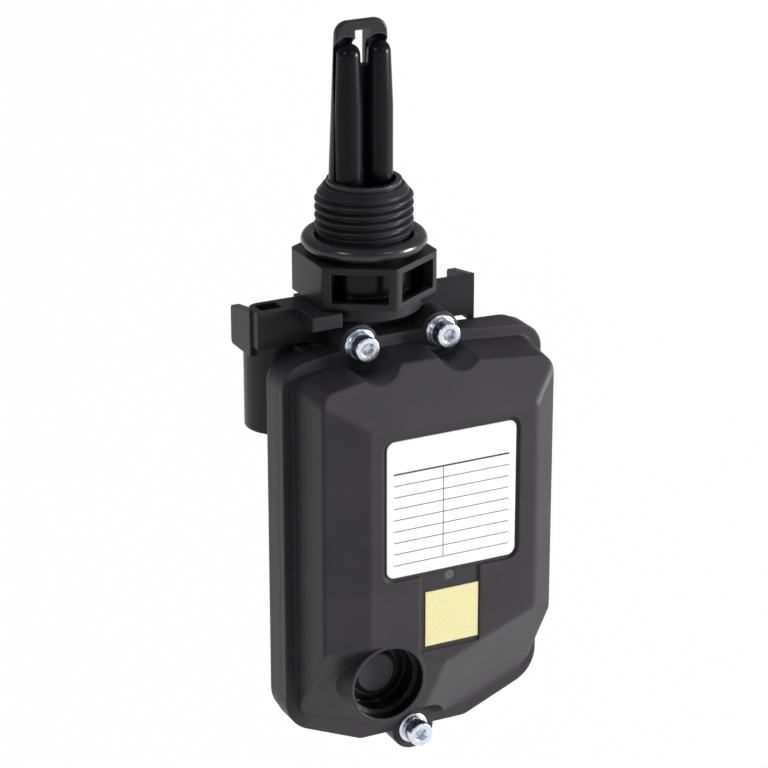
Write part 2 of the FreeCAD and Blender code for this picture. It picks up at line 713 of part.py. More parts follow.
def inlet_fitting():
    body = new_body("fitting_body")
    stub_radius = size.thread_diameter / 2
    stub = new_sketch(body, "stub_profile", "XZ_Plane")
    outline(stub, [
        (0, 0),
        (size.relief_diameter / 2, 0),
        (size.relief_diameter / 2, size.relief_height),
        (stub_radius, size.relief_height),
        (stub_radius, size.thread_top - size.thread_chamfer),
        (stub_radius - size.thread_lead, size.thread_top),
        (0, size.thread_top),
    ])
    revolve(body, stub, "stub")

    corner = size.hex_across / 2 / math.cos(math.pi / 6)
    hexagon = new_sketch(body, "hexagon_outline", "XY_Plane", -size.hex_height)
    corners = []
    for step in range(6):
        angle = math.radians(60 * step - 90)
        corners.append((corner * round(math.cos(angle), 9), corner * round(math.sin(angle), 9)))
    outline(hexagon, corners)
    add(body, hexagon, size.hex_height, "hexagon")
    round_edges(body, size.hex_edge_round, "hexagon_edges",
                lambda e: along(e, AXIS_Z) and math.hypot(middle(e).x, middle(e).y)
                > size.hex_across.number / 2 + 1)

    # Two crossing cores open four of the six flats
    for name, degrees in (("left", -30), ("right", 30)):
        turn = FreeCAD.Rotation(Vector(0, 1, 0), degrees)
        window = new_sketch(body, "window_" + name, "XZ_Plane", 0, turn)
        half = size.window_width / 2
        rectangle(window, -half, -(size.hex_height - size.window_rim), half, -size.window_rim)
        remove(body, window, size.hex_across * 2, "core_" + name, both=True)

    neck = cylinder("fitting_neck", size.neck_diameter, size.hex_height, z=-size.hex_height)
    collar_top = -(size.hex_height + size.collar_height)
    collar = cylinder("fitting_collar", size.collar_diameter, size.collar_height, z=collar_top)
    floor = size.thread_top + size.hex_height + size.collar_height - size.fitting_floor
    bore = cylinder("fitting_bore", size.inlet_bore, floor, z=size.thread_top - floor)
    throat = cylinder("fitting_throat", size.floor_hole, size.fitting_floor + CUT_PAST,
                      y=size.floor_hole_offset, z=collar_top - CUT_PAST)
    return cut("inlet_fitting", fuse("fitting_solid", body, neck, collar), bore, throat)


def inlet_ring():
    mean = size.relief_diameter + size.ring_fit * 2 + size.ring_section
    return torus("inlet_ring", mean, size.ring_section, z=size.ring_lift)


COLLAR_BOTTOM = size.hex_height + size.collar_height


def probe_guard():
    """The cup in the inlet bore and the loop that shields the fingers."""
    low = -(COLLAR_BOTTOM - size.fitting_floor)
    height = size.carrier_top - low
    cup = cylinder("guard_cup", size.carrier_diameter, height, z=low)
    hollow = cylinder("guard_hollow", size.carrier_diameter - size.carrier_wall * 2,
                      height, z=low + size.carrier_floor)
    half = size.guard_base_width / 2
    depth = size.guard_back - size.guard_front
    loop = new_body("guard_loop")
    sketch = new_sketch(loop, "guard_loop_outline", "XZ_Plane", -size.guard_front)
    outline(sketch, [
        (-half, size.carrier_top),
        (half, size.carrier_top),
        (size.guard_top_width / 2, size.guard_top),
        (-size.guard_top_width / 2, size.guard_top),
    ])
    add(loop, sketch, depth, "guard_loop_pad", reverse=True)
    round_edges(loop, size.guard_round, "guard_loop_round",
                lambda e: along(e, AXIS_Y) and middle(e).z > size.guard_top.number - 1)
    for name, level, radius in (("back", size.guard_back, size.guard_back_round),
                                ("front", size.guard_front, size.guard_front_round)):
        round_edges(loop, radius, "guard_loop_%s_round" % name,
                    lambda e: abs(middle(e).y - level.number) < SAME
                    and abs(e.Vertexes[0].Y - e.Vertexes[-1].Y) < SAME
                    and middle(e).z > size.carrier_top.number + SAME)
    slot = new_sketch(loop, "guard_slot", "XZ_Plane", -size.guard_front)
    rectangle(slot, -size.guard_slot_width / 2, size.carrier_top + size.guard_slot_start,
              size.guard_slot_width / 2, size.guard_slot_top)
    remove(loop, slot, depth, "guard_slot_cut", through=True)
    inner = size.carrier_diameter - size.carrier_wall * 2
    web = box("guard_web", -inner / 2 + size.web_inset, size.guard_front, low + size.carrier_floor / 2,
              inner - size.web_inset * 2, depth, size.carrier_top - low)
    keep = cylinder("guard_web_limit", inner + size.carrier_wall, height, z=low)
    web_in_cup = doc.addObject("Part::Common", "guard_web_in_cup")
    web_in_cup.Base = web
    web_in_cup.Tool = keep
    solid = fuse("guard_solid", cut("guard_open_cup", cup, hollow), loop, web_in_cup)
    groove = size.sheath_diameter + size.finger_room * 2
    tools = []
    for side, sign in (("left", -1), ("right", 1)):
        x = size.sheath_pitch / 2 * sign
        niche_end = size.niche_top - groove / 2
        tools.append(cylinder("guard_groove_" + side, groove, niche_end - low + CUT_PAST,
                              x=x, z=low - CUT_PAST))
        tools.append(ball("guard_groove_end_" + side, groove, x=x, z=niche_end))
        wall_front = -size.carrier_diameter / 2 + size.carrier_wall
        tools.append(box("guard_flow_" + side, x - size.flow_slot_width / 2,
                         wall_front + size.flow_slot_inset, low - CUT_PAST,
                         size.flow_slot_width, size.flow_slot_length, size.carrier_floor + CUT_PAST * 2))
    return cut("probe_guard", solid, *tools)


def probe_sheath(side, sign):
    """A hollow plastic finger over one electrode, drawn in a little towards its tip."""
    x = size.sheath_pitch / 2 * sign
    low = -(size.chamber_floor + size.floor_thickness)
    tip_level = size.sheath_top - size.sheath_tip_diameter / 2
    shaft = cylinder("sheath_shaft_" + side, size.sheath_diameter,
                     size.carrier_top - low, x=x, z=low)
    finger = cone("sheath_finger_" + side, size.sheath_diameter, size.sheath_tip_diameter,
                  tip_level - size.carrier_top, x=x, z=size.carrier_top)
    tip = ball("sheath_tip_" + side, size.sheath_tip_diameter, x=x, z=tip_level)
    hole = cylinder("sheath_hole_" + side, size.sheath_bore,
                    size.sheath_top - size.electrode_gap - low + CUT_PAST, x=x, z=low - CUT_PAST)
    return cut("probe_sheath_" + side, fuse("sheath_solid_" + side, shaft, finger, tip), hole)


def probe_electrode(side, sign):
    """A rod with a thin tail that turns forward to the board."""
    x = size.sheath_pitch / 2 * sign
    low = -size.lead_level
    top = size.sheath_top - size.electrode_gap
    front = size.board_front - size.board_thickness - size.lead_diameter / 2
    rod = cylinder("electrode_rod_" + side, size.electrode_diameter, top - low, x=x, z=low)
    tail = cylinder("electrode_tail_" + side, size.lead_diameter, front, x=x, z=low, way="-Y")
    drop = cylinder("electrode_drop_" + side, size.lead_diameter, size.lead_drop,
                    x=x, y=-front, z=low, way="-Z")
    knee = ball("electrode_knee_" + side, size.lead_diameter, x=x, y=-front, z=low)
    return fuse("probe_electrode_" + side, rod, tail, drop, knee)


def probe_seal():
    """A rubber pad under the fingers."""
    low = -(size.chamber_floor + size.floor_thickness + size.pad_thickness)
    pad = box("seal_pad", -size.pad_width / 2, -size.pad_depth / 2, low,
              size.pad_width, size.pad_depth, size.pad_thickness)
    holes = [cylinder("seal_hole_" + side, size.sheath_bore, size.pad_thickness + CUT_PAST * 2,
                      x=size.sheath_pitch / 2 * sign, z=low - CUT_PAST) for side, sign in SIDES]
    return cut("probe_seal", pad, *holes)


SIDES = (("left", -1), ("right", 1))


# Valve body with wings, chamber and outlet

def valve_body():
    depth = size.wing_depth
    left = -size.wing_left
    body = new_body("wing_bar")
    bar = new_sketch(body, "wing_bar_plan", "XY_Plane", -(size.wing_top + size.wing_height))
    outline(bar, [
        (left, -size.wing_front),
        (size.wing_right, -size.wing_front),
        (size.wing_right, -size.wing_front + size.wing_plate),
        (size.collar_diameter / 2, -size.wing_front + size.wing_plate),
        (size.collar_diameter / 2, -size.wing_front + depth),
        (left, -size.wing_front + depth),
    ])
    add(body, bar, size.wing_height, "wing_bar_pad")
    round_edges(body, size.wing_round, "wing_bar_round",
                lambda e: along(e, AXIS_Z) and abs(middle(e).x - left.number) < SAME
                and middle(e).y > 0)
    pocket = new_sketch(body, "wing_pocket_plan", "XY_Plane", -size.wing_top)
    rectangle(pocket, left + size.wing_wall, -size.wing_front + size.wing_wall,
              left + size.wing_wall + size.wing_pocket_length,
              -size.wing_front + depth - size.wing_pocket_wall)
    remove(body, pocket, size.wing_pocket, "wing_pocket_cut")

    parts = [body]
    sides = (
        ("left", -size.end_plate_left, size.wing_wall - size.end_plate_left),
        ("right", size.end_plate_right - size.wing_wall, size.end_plate_right),
    )
    for side, low, high in sides:
        end = new_body("end_plate_" + side)
        sketch = new_sketch(end, "end_plate_outline_" + side, "YZ_Plane", low)
        front = -size.end_plate_front
        back = front + size.end_plate_depth
        outline(sketch, [
            (front, -size.wing_top),
            (front, -(size.wing_top + size.end_plate_height)),
            (back, -(size.wing_top + size.end_plate_height)),
            (back, -(size.wing_top + size.end_plate_slope)),
        ])
        add(end, sketch, high - low, "end_plate_pad_" + side)
        round_edges(end, size.end_plate_round, "end_plate_corner_" + side,
                    lambda e: along(e, AXIS_X) and middle(e).y > back.number - SAME)
        parts.append(end)
    parts.append(box("shoulder", -size.shoulder_side, -size.shoulder_reach,
                     -(size.wing_top + size.shoulder_height),
                     size.shoulder_side - size.shoulder_inner,
                     size.shoulder_reach - size.wing_front + CUT_PAST, size.shoulder_height))
    parts.append(box("throat_block", -size.throat_block_width / 2, -size.block_front,
                     -size.block_top - CUT_PAST, size.throat_block_width,
                     size.block_front + size.throat_block_back,
                     size.block_top + CUT_PAST - COLLAR_BOTTOM))
    block = new_body("chamber_block")
    plan = new_sketch(block, "chamber_block_plan", "XY_Plane", -size.block_bottom)
    rectangle(plan, -size.block_width / 2, -size.block_front, size.block_width / 2, size.block_back)
    add(block, plan, size.block_bottom - size.block_top, "chamber_block_pad")
    round_edges(block, size.block_round, "chamber_block_round",
                lambda e: along(e, AXIS_Z) and middle(e).y > 0)
    parts.append(block)
    parts.append(cylinder("outlet_boss", size.outlet_diameter, size.outlet_bottom - size.block_top,
                          x=-size.outlet_side, y=size.outlet_offset, z=-size.outlet_bottom))
    solid = fuse("valve_solid", *parts)

    collar_room = cylinder("collar_room", size.collar_diameter + size.face_gap,
                           COLLAR_BOTTOM, z=-COLLAR_BOTTOM)
    throat = cylinder("throat", size.floor_hole, size.chamber_roof - COLLAR_BOTTOM + CUT_PAST,
                      y=size.floor_hole_offset, z=-size.chamber_roof)
    chamber = cylinder("chamber_front", size.throat_diameter,
                       size.chamber_floor - size.chamber_roof,
                       y=size.throat_offset, z=-size.chamber_floor)
    chamber_back = cylinder("chamber_back", size.chamber_diameter,
                            size.chamber_floor - size.chamber_roof,
                            x=size.valve_x, y=size.valve_offset, z=-size.chamber_floor)
    under = size.block_bottom - size.chamber_floor - size.floor_thickness
    plenum = cylinder("plenum", size.plenum_diameter, under + CUT_PAST,
                      x=size.valve_x, y=size.valve_offset, z=-size.block_bottom - CUT_PAST)
    tail_pocket = box("tail_pocket", -size.tail_pocket_width / 2, -size.tail_pocket_depth / 2,
                      -size.block_bottom - CUT_PAST, size.tail_pocket_width,
                      size.tail_pocket_depth, under + CUT_PAST)
    seat_hole = cylinder("seat_hole", size.seat_diameter, size.floor_thickness + CUT_PAST * 2,
                         x=size.valve_x, y=size.valve_offset,
                         z=-size.chamber_floor - size.floor_thickness - CUT_PAST)
    port = cylinder("outlet_port", size.outlet_bore, size.outlet_bore_depth + CUT_PAST,
                    x=-size.outlet_side, y=size.outlet_offset, z=-size.outlet_bottom - CUT_PAST)
    channel = cylinder("outlet_channel", size.outlet_channel, size.outlet_side + size.valve_x,
                       x=size.valve_x, y=size.outlet_offset, z=-size.channel_level, way="-X")
    tools = [collar_room, throat, chamber, chamber_back, plenum, tail_pocket, seat_hole, port, channel]
    for side, sign in SIDES:
        x = size.sheath_pitch / 2 * sign
        tools.append(cylinder("finger_hole_" + side, size.sheath_diameter + size.finger_fit * 2,
                              size.floor_thickness + CUT_PAST * 2, x=x,
                              z=-size.chamber_floor - size.floor_thickness - CUT_PAST))
        tools.append(cylinder("tail_hole_" + side, size.lead_diameter + size.lead_room * 2,
                              size.block_front + CUT_PAST, x=x, z=-size.lead_level, way="-Y"))
    tip = size.body_screw_length - size.recess_front + size.block_front
    for index, (x, z) in enumerate(body_screw_spots(), 1):
        tools.append(cylinder("body_screw_pilot_%d" % index, size.screw_shank,
                              tip + size.pilot_past + CUT_PAST,
                              x=x, y=-size.block_front - CUT_PAST, z=z, way="+Y"))
    return cut("valve_body", solid, *tools)


def body_screw_spots():
    """Where the shell is screwed to the valve block."""
    return [(size.body_screw_side * sign, -size.body_screw_level) for side, sign in SIDES]


# Seat, plunger and coil on the valve axis

def on_axis(shape, name, diameter, length, top):
    """A cylinder or prism on the valve axis whose top lies top below the seal face."""
    return shape(name, diameter, length, x=size.valve_x, y=size.valve_offset, z=-(top + length))


SEAT_TOP = size.chamber_floor
SEAT_LIP = size.chamber_floor + size.floor_thickness + size.seat_lip
SEAL_TOP = SEAT_LIP + size.seat_touch
PLUNGER_TOP = SEAL_TOP + size.seal_thickness
PLUNGER_END = PLUNGER_TOP + size.plunger_length
CORE_TOP = PLUNGER_END + size.plunger_travel + size.plunger_stop
CORE_END = CORE_TOP + size.core_length
TUBE_BORE = size.plunger_diameter + size.plunger_clearance * 2
TUBE_OUTER = TUBE_BORE + size.tube_wall * 2
FLANGE_TOP = size.block_bottom
COIL_TOP = size.block_bottom + size.bulge_roof
YOKE_TOP = COIL_TOP + size.yoke_gap
BOBBIN_TOP = YOKE_TOP + size.yoke_thickness + size.yoke_gap
BOBBIN_END = CORE_END
YOKE_END = BOBBIN_END + size.yoke_gap
NUT_TOP = YOKE_END + size.yoke_thickness


def valve_seat():
    insert = on_axis(cylinder, "seat_insert", size.seat_diameter, size.floor_thickness, SEAT_TOP)
    lip = on_axis(cylinder, "seat_nozzle_lip", size.seat_nozzle, size.seat_lip,
                  SEAT_TOP + size.floor_thickness)
    hole = on_axis(cylinder, "seat_orifice_hole", size.seat_orifice,
                   size.floor_thickness + size.seat_lip + CUT_PAST * 2, SEAT_TOP - CUT_PAST)
    return cut("valve_seat", fuse("seat_solid", insert, lip), hole)


def guide_tube():
    flange = on_axis(cylinder, "tube_flange", size.tube_flange_diameter,
                     size.tube_flange_thickness, FLANGE_TOP)
    tube = on_axis(cylinder, "tube_outside", TUBE_OUTER, CORE_END - FLANGE_TOP, FLANGE_TOP)
    bore = on_axis(cylinder, "tube_inside", TUBE_BORE, CORE_END - FLANGE_TOP + CUT_PAST * 2,
                   FLANGE_TOP - CUT_PAST)
    return cut("guide_tube", fuse("tube_solid", flange, tube), bore)


def fixed_core():
    core = on_axis(cylinder, "core_slug", TUBE_BORE, size.core_length, CORE_TOP)
    stud = on_axis(cylinder, "core_stud", size.stud_diameter, size.stud_length, CORE_END)
    return fuse("fixed_core", core, stud)


def plunger():
    slug = on_axis(cylinder, "plunger_slug", size.plunger_diameter, size.plunger_length, PLUNGER_TOP)
    bore = on_axis(cylinder, "plunger_spring_bore", size.spring_diameter + size.spring_room * 2,
                   size.spring_bore_depth + CUT_PAST, PLUNGER_END - size.spring_bore_depth)
    return cut("plunger", slug, bore)


def plunger_seal():
    return on_axis(cylinder, "plunger_seal", size.seal_diameter, size.seal_thickness, SEAL_TOP)


def plunger_spring():
    """A wire helix from the bore of the plunger to the fixed core."""
    spring = doc.addObject("Part::Feature", "plunger_spring")
    wire_radius = size.spring_wire.number / 2
    low = CORE_TOP.number - wire_radius - size.spring_end_gap.number
    high = PLUNGER_END.number - size.spring_bore_depth.number + wire_radius
    high = high + size.spring_end_gap.number
    rise = low - high
    mean = size.spring_diameter.number / 2 - wire_radius
    path = Part.makeHelix(rise / size.spring_turns.number, rise, mean)
    ring = Part.Wire(Part.makeCircle(wire_radius, Vector(mean, 0, 0), Vector(0, 1, 0)))
    spring.Shape = Part.Wire(path.Edges).makePipeShell([ring], True, True)
    return place(spring, size.valve_x, size.valve_offset, -(CORE_TOP - size.spring_wire / 2
                                                          - size.spring_end_gap))


def coil_bobbin():
    height = BOBBIN_END - BOBBIN_TOP
    inner = TUBE_OUTER + size.coil_room * 2
    hub = on_axis(cylinder, "bobbin_hub", inner + size.bobbin_wall * 2, height, BOBBIN_TOP)
    top = on_axis(cylinder, "bobbin_top", size.coil_diameter, size.bobbin_flange, BOBBIN_TOP)
    bottom = on_axis(cylinder, "bobbin_bottom", size.coil_diameter, size.bobbin_flange,
                     BOBBIN_END - size.bobbin_flange)
    bore = on_axis(cylinder, "bobbin_bore", inner, height + CUT_PAST * 2, BOBBIN_TOP - CUT_PAST)
    return cut("coil_bobbin", fuse("bobbin_solid", hub, top, bottom), bore)


def coil_winding():
    height = BOBBIN_END - BOBBIN_TOP - size.bobbin_flange * 2
    inner = TUBE_OUTER + size.coil_room * 2 + size.bobbin_wall * 2
    winding = on_axis(cylinder, "winding_outside", size.coil_diameter - size.winding_margin * 2,
                      height, BOBBIN_TOP + size.bobbin_flange)
    bore = on_axis(cylinder, "winding_inside", inner, height + CUT_PAST * 2,
                   BOBBIN_TOP + size.bobbin_flange - CUT_PAST)
    return cut("coil_winding", winding, bore)


def coil_yoke():
    """A folded steel strip over the two ends and the back of the coil."""
    half = size.yoke_width / 2
    back = size.valve_offset + size.coil_diameter / 2 + size.yoke_gap
    front = size.valve_offset - size.yoke_reach
    leaves = []
    for name, top in (("upper", YOKE_TOP), ("lower", YOKE_END)):
        leaves.append(box("yoke_" + name, size.valve_x - half, front, -(top + size.yoke_thickness),
                          size.yoke_width, back - front, size.yoke_thickness))
    leaves.append(box("yoke_back", size.valve_x - half, back, -(YOKE_END + size.yoke_thickness),
                      size.yoke_width, size.yoke_thickness,
                      YOKE_END + size.yoke_thickness - YOKE_TOP))
    upper_hole = on_axis(cylinder, "yoke_upper_hole", TUBE_OUTER + size.coil_room * 2,
                         size.yoke_thickness + CUT_PAST * 2, YOKE_TOP - CUT_PAST)
    lower_hole = on_axis(cylinder, "yoke_lower_hole", size.stud_diameter + size.coil_room * 2,
                         size.yoke_thickness + CUT_PAST * 2, YOKE_END - CUT_PAST)
    return cut("coil_yoke", fuse("yoke_solid", *leaves), upper_hole, lower_hole)


def coil_nut():
    nut = on_axis(prism, "coil_nut_blank", size.nut_across, size.nut_height, NUT_TOP)
    hole = on_axis(cylinder, "coil_nut_hole", size.stud_diameter, size.nut_height + CUT_PAST * 2,
                   NUT_TOP - CUT_PAST)
    return cut("coil_nut", nut, hole)


# Rear shell

def rear_shell():
    joint = size.seam
    rim = plate("shell_rim", size_of(0), joint, size.rim_depth)
    lap = joint - size.rim_depth + size.shell_lap
    main = plate("shell_main", size.shell_step, lap, lap - size.shell_back, top=size.shell_top)
    back = -size.shell_back
    round_edges(main, size.shell_edge_round, "shell_back_edges",
                lambda e: abs(middle(e).y - back.number) < SAME)
    bulge_left = size.valve_x - size.bulge_width / 2
    bulge = new_body("shell_bulge")
    plan = new_sketch(bulge, "shell_bulge_plan", "XY_Plane", -size.bulge_bottom)
    rectangle(plan, bulge_left, -size.shell_back - CUT_PAST, bulge_left + size.bulge_width, size.bulge_back)
    add(bulge, plan, size.bulge_bottom - size.block_bottom, "shell_bulge_pad")
    round_edges(bulge, size.bulge_round, "shell_bulge_round",
                lambda e: along(e, AXIS_Z) and middle(e).y > 0)
    parts = [rim, main, bulge]
    for index, (x, z, diameter) in enumerate(SCREWS, 1):
        parts.append(cylinder("shell_boss_%d" % index, diameter, size.rim_depth,
                              x=x, y=-joint, z=z, way="+Y"))
    outside = fuse("shell_outside", *parts)

    cavity = plate("shell_cavity", size.shell_wall + size.shell_step, joint,
                   joint - size.shell_back - size.shell_wall, top=size.shell_top + size.shell_wall)
    coil_room = box("shell_coil_room", bulge_left + size.shell_wall, -joint,
                    -(size.bulge_bottom - size.shell_wall), size.bulge_width - size.shell_wall * 2,
                    joint + size.bulge_back - size.shell_wall,
                    size.bulge_bottom - size.shell_wall - size.block_bottom - size.bulge_roof)
    hollow = cut("shell_hollow", outside, cavity, coil_room)

    # A wall steps forward to make room for the valve block
    half = size.block_width / 2 + size.recess_gap
    step = box("shell_recess_wall", -half - size.shell_wall, -size.recess_front,
               -(size.block_bottom + size.recess_floor), (half + size.shell_wall) * 2,
               size.recess_front - size.shell_back,
               size.block_bottom + size.recess_floor - size.shell_top)
    bosses = []
    for index, (x, z, diameter) in enumerate(SCREWS, 1):
        bosses.append(cylinder("shell_boss_again_%d" % index, diameter, size.rim_depth,
                               x=x, y=-joint, z=z, way="+Y"))
    for index, (x, z) in enumerate(post_spots(), 1):
        bosses.append(cylinder("shell_post_%d" % index, size.post_diameter,
                               size.board_front - size.board_thickness - size.shell_back - CUT_PAST,
                               x=x, y=-size.shell_back - CUT_PAST, z=z, way="-Y"))
    body = fuse("shell_with_walls", hollow, step, *bosses)

    tools = [box("shell_recess", -half, -(size.block_front + size.recess_gap), -size.block_bottom,
                 half * 2, size.block_front + size.recess_gap + size.block_back, size.block_bottom)]
    tools.append(box("shell_throat_room", -half, -size.block_front - size.recess_gap,
                     -size.shell_top - CUT_PAST, half * 2, size.block_front, size.shell_top))
    boss_room = size.outlet_diameter + size.recess_gap * 2
    tools.append(cylinder("shell_outlet_room", boss_room, size.outlet_bottom + size.recess_gap,
                          x=-size.outlet_side, y=size.outlet_offset,
                          z=-size.outlet_bottom - size.recess_gap))
    tools.append(on_axis(cylinder, "shell_flange_room", size.tube_flange_diameter + size.recess_gap * 2,
                         size.tube_flange_thickness + CUT_PAST,
                         FLANGE_TOP - CUT_PAST))
    tools.append(on_axis(cylinder, "shell_tube_hole", TUBE_OUTER + size.recess_gap * 2,
                         size.bulge_roof + CUT_PAST * 2, FLANGE_TOP - CUT_PAST))
    for index, (x, z, diameter) in enumerate(SCREWS, 1):
        tools.append(cylinder("shell_insert_hole_%d" % index, size.insert_diameter,
                              size.insert_length + CUT_PAST, x=x, y=-joint - CUT_PAST, z=z, way="+Y"))
    for index, (x, z) in enumerate(post_spots(), 1):
        tools.append(cylinder("shell_post_hole_%d" % index, size.board_screw_shank,
                              size.board_screw_length + CUT_PAST, x=x,
                              y=-size.board_front, z=z, way="+Y"))
    for index, (x, z) in enumerate(body_screw_spots(), 1):
        tools.append(cylinder("shell_body_screw_hole_%d" % index,
                              size.screw_hole, size.shell_wall + CUT_PAST * 4, x=x,
                              y=-size.recess_front - CUT_PAST * 2, z=z, way="+Y"))
    for side, sign in SIDES:
        tools.append(cylinder("shell_tail_hole_" + side, size.lead_diameter + size.lead_room * 2,
                              size.recess_front, x=size.sheath_pitch / 2 * sign, z=-size.lead_level,
                              y=-size.block_front + CUT_PAST, way="-Y"))
    tools.append(cylinder("shell_gland_hole", size.gland_thread + size.gland_fit * 2,
                          size.shell_wall + CUT_PAST * 2, x=size.gland_x, y=-size.shell_back + CUT_PAST,
                          z=-size.gland_z, way="-Y"))
    return cut("rear_shell", body, *tools)


def post_spots():
    """Axes of the four posts under the circuit board."""
    return [
        (-size.board_left + size.post_edge, -size.board_post_top),
        (size.board_right - size.post_edge, -size.board_post_top),
        (-size.board_left + size.post_edge, -(size.board_bottom - size.post_edge)),
        (size.board_right - size.post_edge, -(size.board_bottom - size.post_edge)),
    ]


# Front cover: flange, faceted dome, label recesses, button well

def wedge(body, name, plane, corners, offset=None, turn=None, both=True):
    """Planes one side of the dome off. The profile is drawn at right angles to the edge."""
    sketch = new_sketch(body, name + "_profile", plane, 0, turn)
    if offset is not None:
        bind(sketch, "AttachmentOffset.Base.x", offset[0])
        bind(sketch, "AttachmentOffset.Base.y", offset[1])
        bind(sketch, "AttachmentOffset.Base.z", offset[2])
    outline(sketch, corners)
    return remove(body, sketch, size.housing_bottom * 4, name, both=both)


LOW_LEAN = math.degrees(math.atan2((size.face_bottom - size.face_corner).number,
                                   (size.face_right - size.keel_x).number))


def dome(name, skin):
    """The faceted dome, or with a skin the room inside it."""
    start = size.seam + size.flange_thickness
    foot = size.flange_width + skin
    front = size.face_front - skin
    body = plate(name, foot, start, front - start, taper=-size.dome_draft)
    past = size.face_front

    def slope(run, fall):
        """How far the front crease of a facet moves in under the skin."""
        angle = math.atan2(fall.number, run.number)
        return size_of(skin) * round((1 - math.cos(angle)) / math.sin(angle), 9)

    for side, sign, crease, run, fall in (
            ("left", -1, size.face_left, size.facet_left_run, size.facet_left_fall),
            ("right", 1, size.face_right, size.facet_right_run, size.facet_right_fall)):
        near = crease + slope(run, fall) * -1
        wedge(body, name + "_facet_" + side, "XY_Plane", [
            (near * sign, -front),
            ((near + run * 2) * sign, -(front - fall * 2)),
            ((near + run * 2) * sign, -(front + past)),
            (near * sign, -(front + past)),
        ])
    high = size.face_top + slope(size.facet_top_run, size.facet_top_fall)
    wedge(body, name + "_facet_top", "YZ_Plane", [
        (-front, -high),
        (-(front - size.facet_top_fall * 2), -(high - size.facet_top_run * 2)),
        (-(front + past), -(high - size.facet_top_run * 2)),
        (-(front + past), -high),
    ])
    drop = slope(size.facet_low_run, size.facet_low_fall)
    for side, sign in SIDES:
        turn = FreeCAD.Rotation(Vector(1, 0, 0), -LOW_LEAN * sign)
        wedge(body, name + "_facet_low_" + side, "YZ_Plane", [
            (-front, drop),
            (-(front + past), drop),
            (-(front + past), drop - size.facet_low_run * 2),
            (-(front - size.facet_low_fall * 2), drop - size.facet_low_run * 2),
        ], (0, -size.face_bottom, size.keel_x), turn)
    return body


def front_cover():
    joint = size.seam
    start = joint + size.flange_thickness
    flange = plate("cover_flange", size_of(0), start, size.flange_thickness)
    outer = dome("cover_dome", size_of(0))
    plane = -size.face_front.number
    round_edges(outer, size.crease_round, "cover_dome_creases",
                lambda e: any(abs(v.Y - plane) < SAME for v in e.Vertexes))
    shallow = -(size.face_front - size.facet_top_fall * 2).number
    round_edges(outer, size.facet_round, "cover_dome_edges",
                lambda e: plane + LEAST_ROUND < min(v.Y for v in e.Vertexes)
                and max(v.Y for v in e.Vertexes) < shallow)
    parts = [flange, outer]
    for index, (x, z, diameter) in enumerate(SCREWS, 1):
        parts.append(cylinder("cover_boss_%d" % index, diameter, size.flange_thickness,
                              x=x, y=-joint, z=z, way="-Y"))
    outside = fuse("cover_outside", *parts)
    room = dome("cover_room", size.cover_wall)
    opening = plate("cover_opening", size.flange_width + size.cover_wall - size.rebate,
                    start + size.rebate, size.flange_thickness + size.rebate + CUT_PAST)
    shell = cut("cover_shell", outside, room, opening)

    # Walls and floors of the screw pockets, as far as the dome and the flange reach
    pillars = []
    for index, (x, z, diameter) in enumerate(SCREWS, 1):
        pillar = cylinder("cover_pillar_%d" % index, ACCESS[index - 1] + size.cover_wall * 2,
                          size.face_front, x=x, y=-joint, z=z, way="-Y")
        inside = doc.addObject("Part::Common", "cover_pillar_inside_%d" % index)
        inside.Base = pillar
        inside.Tool = outside
        pillars.append(inside)
    well_back = size.face_front - size.well_depth - size.cover_wall
    well = cylinder("cover_well", size.well_diameter, size.face_front - well_back,
                    x=-size.well_x, y=-well_back, z=-size.well_z, way="-Y")
    body = fuse("cover_with_walls", shell, well, *pillars)

    tools = []
    for index, (x, z, diameter) in enumerate(SCREWS, 1):
        tools.append(cylinder("cover_access_%d" % index, ACCESS[index - 1], size.face_front,
                              x=x, y=-start, z=z, way="-Y"))
        tools.append(cylinder("cover_screw_hole_%d" % index, size.screw_hole,
                              size.flange_thickness + CUT_PAST * 2, x=x, y=-joint + CUT_PAST, z=z, way="-Y"))
    past = CUT_PAST
    tools.append(cylinder("cover_well_upper", size.well_bore, size.well_step_depth + past,
                          x=-size.well_x, y=-(size.face_front - size.well_step_depth),
                          z=-size.well_z, way="-Y"))
    tools.append(cylinder("cover_well_lower", size.well_step, size.well_depth + past,
                          x=-size.well_x, y=-(size.face_front - size.well_depth),
                          z=-size.well_z, way="-Y"))
    tools.append(cylinder("cover_button_hole", size.button_diameter + size.button_fit * 2,
                          size.face_front, x=-size.well_x, y=-start - past, z=-size.well_z, way="-Y"))
    label_room = new_body("cover_label_recess")
    recess = new_sketch(label_room, "cover_label_outline", "XZ_Plane", size.face_front - size.label_recess)
    half = size.label_width / 2 + size.label_margin
    tall = size.label_height / 2 + size.label_margin
    rectangle(recess, size.label_x - half, -size.label_z - tall, size.label_x + half,
              -size.label_z + tall)
    add(label_room, recess, size.label_recess + past, "cover_label_pad")
    round_edges(label_room, size.label_round + size.label_margin, "cover_label_round",
                lambda e: along(e, AXIS_Y))
    tools.append(label_room)
    tools.append(box("cover_patch_recess", size.patch_x - size.patch_width / 2,
                     -(size.face_front + past), -size.patch_bottom, size.patch_width,
                     size.patch_recess + past, size.patch_bottom - size.patch_top + size.patch_foot))
    tools.append(cylinder("cover_lamp_hole", size.lamp_diameter + size.lamp_fit * 2,
                          size.face_front, x=size.lamp_x, y=-start, z=-size.lamp_z, way="-Y"))
    return cut("front_cover", body, *tools)


# Fasteners of the cover

